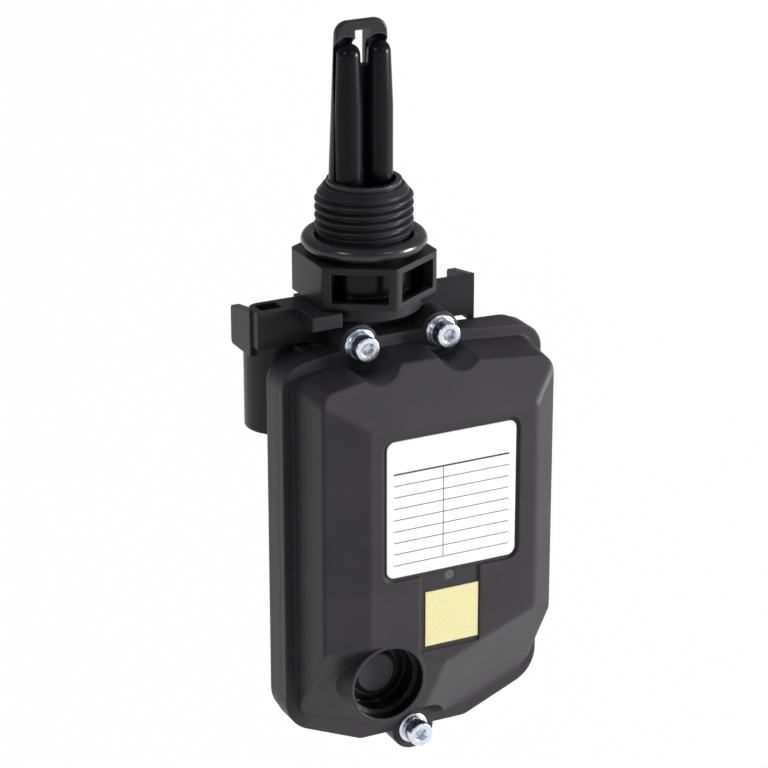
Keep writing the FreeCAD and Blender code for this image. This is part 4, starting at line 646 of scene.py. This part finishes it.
@dataclass(frozen=True)
class Laminate(Finish):
    """Lacquered circuit board with tracks."""

    colour: Colour = (0.02, 0.12, 0.045)
    track: Colour = (0.05, 0.22, 0.08)
    tracks: float = 260.0
    track_width: float = 0.03
    track_depth: float = 0.02 * MM
    gloss: Cloud = Cloud(500.0, low=0.25, high=0.4)

    def paint(self, graph: Graph) -> None:
        """Green lacquer over faint tracks.

        Args:
            graph: The material's graph.
        """
        cells = graph.node("ShaderNodeTexBrick", Scale=self.tracks, Color1=(*self.colour, 1.0),
                           Color2=(*self.colour, 1.0), Mortar=(*self.track, 1.0),
                           Mortar_Size=self.track_width)
        turn = graph.node("ShaderNodeMapping")
        turn.inputs["Rotation"].default_value = (math.pi / 2, 0.0, 0.0)
        graph.link(graph.place(), turn.inputs["Vector"])
        graph.link(turn.outputs["Vector"], cells.inputs["Vector"])
        graph.finish(Base_Color=cells.outputs["Color"], Roughness=graph.spread(self.gloss))
        graph.bumps(cells.outputs["Fac"], self.track_depth)


@dataclass(frozen=True)
class SmokedClear(Finish):
    """Clear plastic of a light guide."""

    colour: Colour = (0.16, 0.15, 0.14)
    smoke: Cloud = Cloud(1200.0, low=0.8)
    clear: float = 0.35
    gloss: Cloud = Cloud(900.0, low=0.1, high=0.22)
    skin: Relief = Relief(1500.0, 0.000004, edge=0.0001)

    def paint(self, graph: Graph) -> None:
        """Smoked clear resin.

        Args:
            graph: The material's graph.
        """
        graph.finish(Base_Color=graph.cloudy(self.colour, self.smoke),
                     Transmission_Weight=self.clear, Roughness=graph.spread(self.gloss))
        graph.rough(self.skin)


class Palette:
    """The finishes of the drain."""

    button_centre: Point = (-7.5 * MM, 0.0, -93.1 * MM)
    # The paler edge colour of each resin is part wear and part painted highlight; the recesses are
    # painted darker as shade.
    housing = MouldedPlastic("housing_resin", colour=(0.037, 0.0342, 0.0367),
                             wear_and_highlight=(0.085, 0.08, 0.083), roughness=0.44, grain=3200.0,
                             grain_depth=0.000008, edge=0.0007, wear_and_highlight_strength=0.35, specular=0.22,
                             polish_and_shade_recess=ShadedRecess(Axis.FRONT, button_centre, 8.24 * MM,
                                             -26.4 * MM, -12.0 * MM))
    fitting = MouldedPlastic("fitting_resin", colour=(0.021, 0.0194, 0.0212),
                             wear_and_highlight=(0.09, 0.085, 0.09), roughness=0.36, grain=2200.0,
                             grain_depth=0.000006, edge=0.0004, wear_and_highlight_strength=0.6, specular=0.2)
    # The windows and bore of the fitting are painted near black as shade.
    windowed = replace(fitting, name="windowed_resin", recess_shade_colour=(0.003, 0.003, 0.0035),
                       polish_and_shade_recess=ShadedRecess(Axis.UP, (0.0, 0.0, 0.0), 12.6 * MM, -12.2 * MM, -5.4 * MM))
    probe = MouldedPlastic("probe_resin", colour=(0.0065, 0.0063, 0.008), wear_and_highlight=(0.02, 0.02, 0.023),
                           roughness=0.22, grain=1200.0, grain_depth=0.000002, edge=0.0003,
                           wear_and_highlight_strength=0.2, specular=0.13)
    # The guard's pale edge colour is mostly a painted highlight along its top edge and the rims of
    # its niches.
    guard = MouldedPlastic("guard_resin", colour=(0.02, 0.0195, 0.0225), wear_and_highlight=(0.2, 0.2, 0.21),
                           roughness=0.3, grain=1200.0, grain_depth=0.000002, edge=0.0004,
                           wear_and_highlight_strength=1.0, specular=0.25)
    button = TurnedPlastic("button_resin", colour=(0.05, 0.0475, 0.052), roughness=0.36,
                           specular=0.3, centre=button_centre)
    component = MouldedPlastic("component_resin", colour=(0.02, 0.02, 0.022), roughness=0.3)
    terminal = MouldedPlastic("terminal_resin", colour=(0.03, 0.16, 0.06),
                              wear_and_highlight=(0.07, 0.22, 0.1), roughness=0.3)
    rubber = Rubber("moulded_rubber")
    zinc = Metal("zinc_plate", colour=(0.8, 0.85, 0.92), shade=(0.6, 0.66, 0.76), roughness=0.24)
    steel = Metal("bright_steel", colour=(0.6, 0.6, 0.58), shade=(0.42, 0.42, 0.4), roughness=0.22)
    brass = Metal("turned_brass", colour=(0.7, 0.5, 0.2), shade=(0.5, 0.33, 0.12), roughness=0.25)
    copper = WoundWire("enamelled_wire")
    sticker = PlainFilm("yellow_film")
    clear = SmokedClear("smoked_clear")
    board = Laminate("green_laminate")


def from_bmesh(name: str, form: bmesh.types.BMesh, smooth_angle: float = 35.0) -> bpy.types.Object:
    """Puts a form into the scene as an object that is smooth below an angle.

    Args:
        name: The object's name.
        form: The geometry, freed here.
        smooth_angle: Edges that bend more than this many degrees stay sharp.

    Returns:
        The object.
    """
    bmesh.ops.recalc_face_normals(form, faces=form.faces)
    limit = math.radians(smooth_angle)
    for face in form.faces:
        face.smooth = True
    for edge in form.edges:
        if len(edge.link_faces) == 2 and edge.calc_face_angle(0.0) > limit:
            edge.smooth = False
    mesh = bpy.data.meshes.new(name)
    form.to_mesh(mesh)
    form.free()
    piece = bpy.data.objects.new(name, mesh)
    bpy.context.scene.collection.objects.link(piece)
    return piece


def lathe(form: bmesh.types.BMesh, profile: Profile, steps: int,
          radius_at: Optional[RadiusAt] = None) -> list[bmesh.types.BMVert]:
    """Turns a profile round Z.

    Args:
        form: The bmesh that takes the new faces.
        profile: Radius and height pairs. A radius of 0 closes an end.
        steps: Steps round the axis.
        radius_at: Optional change of radius from row, angle and radius.

    Returns:
        The new vertices.
    """
    rows: list[list[bmesh.types.BMVert]] = []
    for index, (radius, height) in enumerate(profile):
        if radius == 0.0:
            rows.append([form.verts.new((0.0, 0.0, height))])
            continue
        row = []
        for step in range(steps):
            angle = TURN * step / steps
            out = radius_at(index, angle, radius) if radius_at else radius
            row.append(form.verts.new((out * math.cos(angle), out * math.sin(angle), height)))
        rows.append(row)
    for low, high in zip(rows, rows[1:]):
        for step in range(steps):
            after = (step + 1) % steps
            if len(low) == 1 and len(high) > 1:
                form.faces.new((low[0], high[after], high[step]))
            elif len(high) == 1 and len(low) > 1:
                form.faces.new((low[step], low[after], high[0]))
            elif len(low) > 1:
                form.faces.new((low[step], low[after], high[after], high[step]))
    return [vert for row in rows for vert in row]


def dress(piece: bpy.types.Object, finish: Finish, body: Body) -> bpy.types.Object:
    """Gives a new piece its finish and its body.

    Args:
        piece: The new object.
        finish: Its finish.
        body: The body that carries it.

    Returns:
        The same object.
    """
    piece.data.materials.clear()
    piece.data.materials.append(finish.material())
    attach(piece, body.value)
    return piece


@dataclass
class CadNodes:
    """CAD nodes that stay as they are and only take a finish."""

    nodes: dict[str, bpy.types.Object]
    finishes: dict[str, Finish]

    def dress(self) -> int:
        """Assigns a finish to every node in the list.

        Returns:
            How many nodes took one.
        """
        for name, finish in self.finishes.items():
            piece = self.nodes[name]
            if not piece.material_slots:
                piece.data.materials.append(finish.material())
            for slot in piece.material_slots:
                slot.material = finish.material()
        return len(self.finishes)


@dataclass
class InletThread:
    """The inlet fitting with its pipe thread cut as a real helix."""

    nodes: dict[str, bpy.types.Object]
    crest: float = 10.4775 * MM
    pitch: float = 1.814 * MM
    depth: float = 1.162 * MM
    root_share: float = 0.14
    flank_share: float = 0.68
    relief: float = 10.0 * MM
    end: float = 10.4 * MM
    chamfer: float = 2.4 * MM
    lead: float = 1.9 * MM
    run_out: float = 0.9 * MM
    rows_per_turn: int = 14
    steps: int = 144
    smooth_angle: float = 40.0
    weld: float = 1e-6
    radius_slack: float = 2e-5
    foot_slack: float = 1e-5

    def radius(self, height: float, angle: float) -> float:
        """The thread's radius at one place.

        Args:
            height: Height above the foot of the thread.
            angle: Angle round the axis.

        Returns:
            The radius in metres.
        """
        phase = (height / self.pitch - angle / TURN) % 1.0
        wave = 1.0 - abs(2.0 * phase - 1.0)
        flank = min(max((wave - self.root_share) / self.flank_share, 0.0), 1.0)
        rounded = flank * flank * (3.0 - 2.0 * flank) * 0.5 + flank * 0.5
        fade = min(max(height / self.run_out, 0.0), 1.0)
        cut = self.crest - self.depth * (1.0 - rounded)
        cut = self.relief + (cut - self.relief) * fade
        past = max(0.0, height - (self.end - self.chamfer))
        return min(cut, self.crest - past * self.lead / self.chamfer)

    def on_wall(self, face: bmesh.types.BMFace) -> bool:
        """Tells whether a face lies on the plain wall of the stub.

        Args:
            face: A face of the fitting.

        Returns:
            True above the foot of the thread.
        """
        spots = [vert.co for vert in face.verts]
        radii = [math.hypot(spot.x, spot.y) for spot in spots]
        return (min(radii) > self.crest - self.lead - self.radius_slack
                and max(radii) < self.crest + self.radius_slack
                and min(spot.z for spot in spots) > -self.foot_slack)

    def build(self) -> bpy.types.Object:
        """Copies the fitting without its plain stub wall and adds the helix.

        Returns:
            The threaded fitting.
        """
        form = bmesh.new()
        form.from_mesh(self.nodes["inlet_fitting"].data)
        bmesh.ops.remove_doubles(form, verts=form.verts, dist=self.weld)
        wall = [face for face in form.faces if self.on_wall(face)]
        bmesh.ops.delete(form, geom=wall, context="FACES")
        rows = int(self.end / self.pitch * self.rows_per_turn)
        profile = [(self.crest, self.end * row / rows) for row in range(rows + 1)]

        def wavy(row: int, angle: float, _radius: float) -> float:
            """The helix, from the relief up to the lead-in."""
            return self.radius(profile[row][1], angle)

        lathe(form, profile, self.steps, wavy)
        return from_bmesh("threaded_inlet", form, self.smooth_angle)

    def dress(self) -> bpy.types.Object:
        """Builds the piece and puts it in the fitting's place.

        Returns:
            The threaded fitting.
        """
        piece = dress(self.build(), Palette.windowed, Body.HOUSING)
        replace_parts(piece, "inlet_fitting")
        return piece


@dataclass
class ProbeFingers:
    """The two fingers, thicker towards the cup, and the web of the guard behind them."""

    cup_floor: float = 7.4 * MM
    cup_radius: float = 2.96 * MM
    cup_levels: tuple[float, float] = (7.8 * MM, 10.5 * MM)
    rim_radius: float = 3.06 * MM
    rim_level: float = 10.9 * MM
    stem_radius: float = 2.98 * MM
    stem_levels: tuple[float, float] = (11.6 * MM, 27.0 * MM)
    tip_radius: float = 2.5 * MM
    web_half: float = 1.62 * MM
    web_front: float = 1.4 * MM
    web_back: float = 3.2 * MM
    web_top: float = 35.4 * MM
    steps: int = 64
    arc_steps: int = 10

    def build(self, node: str) -> bpy.types.Object:
        """Turns one finger on the axis of its solid.

        Args:
            node: The solid that the finger stands for.

        Returns:
            The finger.
        """
        low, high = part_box(node)
        middle = (low + high) / 2
        plain = (high.x - low.x) / 2
        level = high.z - self.tip_radius
        profile = [(0.0, low.z), (plain, low.z), (plain, self.cup_floor)]
        profile += [(self.cup_radius, height) for height in self.cup_levels]
        profile.append((self.rim_radius, self.rim_level))
        profile += [(self.stem_radius, height) for height in self.stem_levels]
        for step in range(self.arc_steps + 1):
            angle = math.pi / 2 * step / self.arc_steps
            profile.append((self.tip_radius * math.cos(angle) if step < self.arc_steps else 0.0,
                            level + self.tip_radius * math.sin(angle)))
        form = bmesh.new()
        verts = lathe(form, profile, self.steps)
        bmesh.ops.translate(form, verts=verts, vec=(middle.x, middle.y, 0.0))
        return from_bmesh(node.replace("probe_sheath", "probe_finger"), form)

    def web(self) -> bpy.types.Object:
        """The plain web that closes the lower part of the slot in the guard.

        Returns:
            The web.
        """
        form = bmesh.new()
        verts = bmesh.ops.create_cube(form, size=1.0)["verts"]
        size = Vector((self.web_half * 2, self.web_back - self.web_front,
                       self.web_top - self.cup_floor))
        bmesh.ops.scale(form, verts=verts, vec=size)
        bmesh.ops.translate(form, verts=verts, vec=(
            0.0, (self.web_front + self.web_back) / 2, (self.web_top + self.cup_floor) / 2))
        return from_bmesh("guard_web", form)

    def dress(self) -> int:
        """Builds both fingers in place of their solids, and the web.

        Returns:
            How many were made.
        """
        dress(self.web(), Palette.guard, Body.HOUSING)
        names = ("probe_sheath_left", "probe_sheath_right")
        for node in names:
            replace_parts(dress(self.build(node), Palette.probe, Body.HOUSING), node)
        return len(names) + 1


@dataclass
class ClosingSpring:
    """The spring under the plunger, which shortens as the plunger lifts off its seat; the copy
    keeps the solid's shape.
    """

    nodes: dict[str, bpy.types.Object]
    joint: str = "plunger_lift"
    lift: float = 1.6 * MM
    smooth_angle: float = 60.0

    def build(self) -> bpy.types.Object:
        """Copies the wound wire.

        Returns:
            The copy.
        """
        form = bmesh.new()
        form.from_mesh(self.nodes["plunger_spring"].data)
        return from_bmesh("closing_spring", form, self.smooth_angle)

    def dress(self) -> bpy.types.Object:
        """Puts the copy in the place of the solid, on a mesh of its own.

        Returns:
            The spring.
        """
        piece = dress(self.build(), Palette.steel, Body.HOUSING)
        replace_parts(piece, "plunger_spring")
        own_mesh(piece)
        return piece


@dataclass
class CoverFasteners:
    """Three socket screws with a flat and a split washer each."""

    spots: tuple[tuple[float, float], ...] = (
        (-6.85 * MM, -20.8 * MM),
        (12.22 * MM, -20.8 * MM),
        (6.05 * MM, -113.6 * MM),
    )
    face: float = 11.5 * MM
    flat_radius: float = 3.5 * MM
    flat_thick: float = 0.5 * MM
    flat_soft: float = 0.12 * MM
    flat_smooth: float = 50.0
    weld: float = 1e-7
    split_radius: float = 2.95 * MM
    split_thick: float = 0.8 * MM
    split_gap: float = 0.55 * MM
    split_lean: float = 0.12
    split_smooth: float = 30.0
    splits: tuple[float, ...] = (2.3, 4.1, 0.7)
    hole: float = 1.6 * MM
    head_radius: float = 2.75 * MM
    head_height: float = 3.0 * MM
    head_rim: float = 0.35 * MM
    rim_steps: int = 4
    head_foot: float = 0.1 * MM
    head_foot_height: float = 0.12 * MM
    socket_across: float = 2.5 * MM
    socket_depth: float = 1.5 * MM
    socket_point: float = 0.5 * MM
    socket_mouth: float = 0.14 * MM
    socket_lip: float = 0.12 * MM
    shank: float = 1.5 * MM
    shank_length: float = 5.8 * MM
    first_turn: float = 0.35
    next_turn: float = 0.9
    screw_smooth: float = 32.0
    steps: int = 48

    def place(self, form: bmesh.types.BMesh, verts: Sequence[bmesh.types.BMVert],
              spot: tuple[float, float], depth: float, turn: float = 0.0) -> None:
        """Moves a form that was built up along +Z onto its screw axis.

        Args:
            form: The bmesh that holds the vertices.
            verts: The vertices to move.
            spot: X and Z of the screw.
            depth: How far ahead of the inlet axis its foot lies.
            turn: Turn about the screw's own axis.
        """
        move = Matrix.Translation((spot[0], -depth, spot[1])) @ TO_FRONT
        move = move @ Matrix.Rotation(turn, 4, "Z")
        bmesh.ops.transform(form, matrix=move, verts=list(verts))

    def screw_profile(self) -> tuple[Profile, int]:
        """The outline of a screw, from the tip of the shank to the foot of its socket.

        Returns:
            Radius and height pairs, and the first of them that is six-sided.
        """
        top = self.head_height
        flat = self.socket_across / 2
        outer = [(0.0, -self.shank_length), (self.shank, -self.shank_length), (self.shank, 0.0),
                 (self.head_radius - self.head_foot, 0.0),
                 (self.head_radius, self.head_foot_height), (self.head_radius, top - self.head_rim)]
        for step in range(1, self.rim_steps + 1):
            angle = math.pi / 2 * step / self.rim_steps
            outer.append((self.head_radius - self.head_rim * (1 - math.cos(angle)),
                          top - self.head_rim * (1 - math.sin(angle))))
        mouth = flat / math.cos(SIXTH / 2) + self.socket_mouth
        outer += [(mouth, top), (mouth - self.socket_lip, top - self.socket_lip)]
        inner = [(flat, top - self.socket_mouth), (flat, top - self.socket_depth),
                 (0.0, top - self.socket_depth - self.socket_point)]
        return outer + inner, len(outer)

    def screws(self) -> bpy.types.Object:
        """Heads with rounded rims and hexagon sockets, and their shanks.

        Returns:
            The three screws as one piece.
        """
        form = bmesh.new()
        foot = self.face + self.flat_thick + self.split_thick
        profile, socket = self.screw_profile()

        def six_sided(row: int, angle: float, radius: float) -> float:
            """The hexagon of the socket, round elsewhere."""
            sector = (angle + SIXTH / 2) % SIXTH - SIXTH / 2
            return radius if row < socket else radius / math.cos(sector)

        for index, spot in enumerate(self.spots):
            verts = lathe(form, profile, self.steps, six_sided)
            self.place(form, verts, spot, foot, self.first_turn + self.next_turn * index)
        return from_bmesh("socket_screws", form, self.screw_smooth)

    def washers(self) -> bpy.types.Object:
        """Flat washers with a punched, slightly rounded rim.

        Returns:
            The three washers as one piece.
        """
        form = bmesh.new()
        soft = self.flat_soft
        ring = [(self.hole, 0.0), (self.flat_radius - soft, 0.0), (self.flat_radius, soft),
                (self.flat_radius, self.flat_thick - soft),
                (self.flat_radius - soft, self.flat_thick), (self.hole, self.flat_thick),
                (self.hole, 0.0)]
        for spot in self.spots:
            self.place(form, lathe(form, ring, self.steps), spot, self.face)
        bmesh.ops.remove_doubles(form, verts=form.verts, dist=self.weld)
        return from_bmesh("punched_washers", form, self.flat_smooth)

    def split_washers(self) -> bpy.types.Object:
        """Split washers, each with its slanted gap.

        Returns:
            The three washers as one piece.
        """
        form = bmesh.new()
        gap = self.split_gap / self.split_radius
        section = ((self.hole, 0.0, -1.0), (self.split_radius, 0.0, -1.0),
                   (self.split_radius, self.split_thick, 1.0), (self.hole, self.split_thick, 1.0))
        for spot, start in zip(self.spots, self.splits):
            rings = []
            for step in range(self.steps + 1):
                angle = start + gap + (TURN - gap) * step / self.steps
                lean = self.split_lean if step in (0, self.steps) else 0.0
                rings.append([
                    form.verts.new((radius * math.cos(angle + side * lean),
                                    radius * math.sin(angle + side * lean), height))
                    for radius, height, side in section])
            for low, high in zip(rings, rings[1:]):
                for side in range(len(section)):
                    after = (side + 1) % len(section)
                    form.faces.new((low[side], high[side], high[after], low[after]))
            form.faces.new(rings[0])
            form.faces.new(list(reversed(rings[-1])))
            verts = [vert for ring in rings for vert in ring]
            self.place(form, verts, spot, self.face + self.flat_thick)
        return from_bmesh("split_washers", form, self.split_smooth)

    def dress(self) -> int:
        """Builds the three kinds of piece in place of their plain solids.

        Returns:
            How many pieces were made.
        """
        pairs = (
            (self.screws(), "cover_screws"),
            (self.washers(), "flat_washers"),
            (self.split_washers(), "spring_washers"),
        )
        for piece, node in pairs:
            dress(piece, Palette.zinc, Body.HOUSING)
            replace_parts(piece, node)
        return len(pairs)


@dataclass
class RatingPlate:
    """The two labels on the front, the large one with a blank ruled form."""

    nodes: dict[str, bpy.types.Object]

    def dress(self) -> int:
        """Gives both labels their films.

        Returns:
            How many labels took one.
        """
        low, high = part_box("rating_label")
        film = RuledFilm("white_film", middle=tuple((low + high) / 2), width=high.x - low.x,
                         height=high.z - low.z)
        finishes = {"rating_label": film, "square_label": Palette.sticker}
        return CadNodes(self.nodes, finishes).dress()


@dataclass(frozen=True)
class Lamp:
    """A round soft lamp."""

    name: str
    place: Point
    aim: Point
    size: float
    power: float
    reach: Reach

    def build(self) -> bpy.types.Object:
        """Hangs the lamp in its place and turns it to its aim.

        Returns:
            The lamp.
        """
        data = bpy.data.lights.new(self.name, "AREA")
        data.shape = "DISK"
        data.size = self.size
        data.energy = self.power
        lamp = bpy.data.objects.new(self.name, data)
        lamp.location = self.place
        lamp.visible_diffuse, lamp.visible_glossy = self.reach.value
        heading = Vector(self.aim) - Vector(self.place)
        lamp.rotation_euler = heading.to_track_quat("-Z", "Y").to_euler()
        bpy.context.scene.collection.objects.link(lamp)
        return lamp


@dataclass
class Studio:
    """Camera, floor and lights."""

    focal_pixels: float = 3067.57
    image_pixels: float = 768.0
    sensor: float = 36.0
    clip_start: float = 0.05
    clip_end: float = 20.0
    elevation: float = math.radians(21.288)
    heading: float = math.radians(26.669)
    shift_right: float = 4.204 * MM
    shift_up: float = -28.637 * MM
    distance: float = 647.839 * MM
    datum: float = 4.2 * MM
    floor_level: float = -0.17
    floor_half: float = 6.0
    floor_cells: int = 8
    floor_white: float = 0.985
    paper: Colour = (0.9, 0.9, 0.9)
    paper_roughness: float = 0.9
    sky: Colour = (0.95, 0.95, 1.0)
    sky_strength: float = 0.3
    backdrop: Colour = (1.0, 1.0, 1.0)
    backdrop_strength: float = 1.0
    lamps: tuple[Lamp, ...] = (
        Lamp("key", (0.93, -0.53, 0.06), (0.0, 0.0, -0.04), 0.34, 16.0, Reach.ALL),
        Lamp("side", (-0.75, -0.5, 0.35), (0.0, 0.0, -0.05), 0.3, 0.5, Reach.SHADE),
        Lamp("top", (-0.3, 0.45, 0.8), (0.0, 0.0, -0.03), 0.4, 1.6, Reach.SHADE),
        Lamp("back", (0.8, 0.72, 0.02), (0.0, 0.0, -0.05), 0.36, 3.6, Reach.SHADE),
        Lamp("left_window", (-0.8, -0.35, 0.48), (0.0, 0.0, 0.0), 0.26, 1.5, Reach.GLINT),
        Lamp("right_window", (0.32, -0.81, 0.5), (0.0, 0.0, 0.0), 0.22, 0.7, Reach.GLINT),
    )

    def camera(self) -> bpy.types.Object:
        """The camera at the photograph's angle and distance.

        Returns:
            The camera object.
        """
        c, s = math.cos(self.heading), math.sin(self.heading)
        ce, se = math.cos(self.elevation), math.sin(self.elevation)
        right = Vector((c, -s, 0.0))
        ahead = Vector((s * ce, c * ce, -se))
        up = Vector((s * se, c * se, ce))
        data = bpy.data.cameras.new("camera")
        data.sensor_width = self.sensor
        data.lens = self.focal_pixels / self.image_pixels * self.sensor
        data.clip_start = self.clip_start
        data.clip_end = self.clip_end
        camera = bpy.data.objects.new("camera", data)
        bpy.context.scene.collection.objects.link(camera)
        place = right * self.shift_right + up * self.shift_up - ahead * self.distance
        place.z -= self.datum
        turn = Matrix((right, up, -ahead)).transposed().to_4x4()
        camera.matrix_world = Matrix.Translation(place) @ turn
        bpy.context.scene.camera = camera
        return camera

    def floor(self) -> bpy.types.Object:
        """A pale floor that shows white to the camera and in reflections.

        Returns:
            The floor.
        """
        form = bmesh.new()
        bmesh.ops.create_grid(form, x_segments=self.floor_cells, y_segments=self.floor_cells,
                              size=self.floor_half)
        floor = from_bmesh("studio_floor", form)
        floor.location = (0.0, 0.0, self.floor_level)
        graph = Graph("floor_paper")
        graph.finish(Base_Color=(*self.paper, 1.0), Roughness=self.paper_roughness)
        path = graph.node("ShaderNodeLightPath").outputs
        seen = graph.maths("MAXIMUM", path["Is Camera Ray"], path["Is Glossy Ray"])
        mix = graph.node("ShaderNodeMixShader")
        graph.link(graph.maths("MULTIPLY", seen, self.floor_white), mix.inputs["Fac"])
        graph.link(graph.surface.outputs[0], mix.inputs[1])
        graph.link(graph.node("ShaderNodeEmission").outputs[0], mix.inputs[2])
        graph.link(mix.outputs[0], graph.output.inputs["Surface"])
        floor.data.materials.append(graph.material)
        return floor

    def world(self) -> bpy.types.World:
        """Soft light from all round, with white behind the object.

        Returns:
            The world.
        """
        world = bpy.data.worlds.new("studio")
        bpy.context.scene.world = world
        world.use_nodes = True
        tree = world.node_tree
        tree.nodes.clear()
        output = tree.nodes.new("ShaderNodeOutputWorld")
        mix = tree.nodes.new("ShaderNodeMixShader")
        path = tree.nodes.new("ShaderNodeLightPath")
        tree.links.new(path.outputs["Is Camera Ray"], mix.inputs["Fac"])
        shades = ((self.sky, self.sky_strength), (self.backdrop, self.backdrop_strength))
        for place, (colour, strength) in enumerate(shades, start=1):
            glow = tree.nodes.new("ShaderNodeBackground")
            glow.inputs["Color"].default_value = (*colour, 1.0)
            glow.inputs["Strength"].default_value = strength
            tree.links.new(glow.outputs[0], mix.inputs[place])
        tree.links.new(mix.outputs[0], output.inputs["Surface"])
        return world

    def build(self) -> int:
        """Sets the whole stage.

        Returns:
            How many lamps hang in it.
        """
        self.camera()
        self.floor()
        self.world()
        for lamp in self.lamps:
            lamp.build()
        bpy.context.scene.view_settings.view_transform = "Standard"
        return len(self.lamps)


PLAIN_FINISHES: dict[str, Finish] = {
    "inlet_ring": Palette.rubber,
    "probe_guard": Palette.guard,
    "probe_electrode_left": Palette.steel,
    "probe_electrode_right": Palette.steel,
    "probe_seal": Palette.rubber,
    "valve_body": Palette.fitting,
    "valve_seat": Palette.brass,
    "guide_tube": Palette.steel,
    "fixed_core": Palette.steel,
    "plunger": Palette.steel,
    "plunger_seal": Palette.rubber,
    "coil_bobbin": Palette.component,
    "coil_winding": Palette.copper,
    "coil_yoke": Palette.zinc,
    "coil_nut": Palette.zinc,
    "rear_shell": Palette.housing,
    "front_cover": Palette.housing,
    "threaded_inserts": Palette.brass,
    "body_screws": Palette.zinc,
    "light_guide": Palette.clear,
    "status_led": Palette.clear,
    "test_button": Palette.button,
    "tact_switch": Palette.component,
    "circuit_board": Palette.board,
    "board_screws": Palette.zinc,
    "transformer": Palette.component,
    "smoothing_capacitor": Palette.component,
    "terminal_block": Palette.terminal,
    "cable_gland": Palette.fitting,
    "gland_nut": Palette.fitting,
    "gland_seal": Palette.rubber,
    "gland_locknut": Palette.fitting,
}


def main() -> None:
    """Builds the looks in order and reports each piece."""
    logging.basicConfig(level=logging.INFO, format="%(message)s")
    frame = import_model()
    nodes = frame["nodes"]

    LOG.info("CAD nodes with a finish: %d", CadNodes(nodes, PLAIN_FINISHES).dress())
    thread = InletThread(nodes).dress()
    LOG.info("threaded inlet: %d faces", len(thread.data.polygons))
    LOG.info("probe fingers and web: %d", ProbeFingers().dress())
    LOG.info("closing spring: %s", ClosingSpring(nodes).dress().name)
    LOG.info("cover fasteners: %d pieces", CoverFasteners().dress())
    LOG.info("labels: %d", RatingPlate(nodes).dress())
    LOG.info("studio: camera, floor, world and %d lamps", Studio().build())


if __name__ == "__main__":
    main()
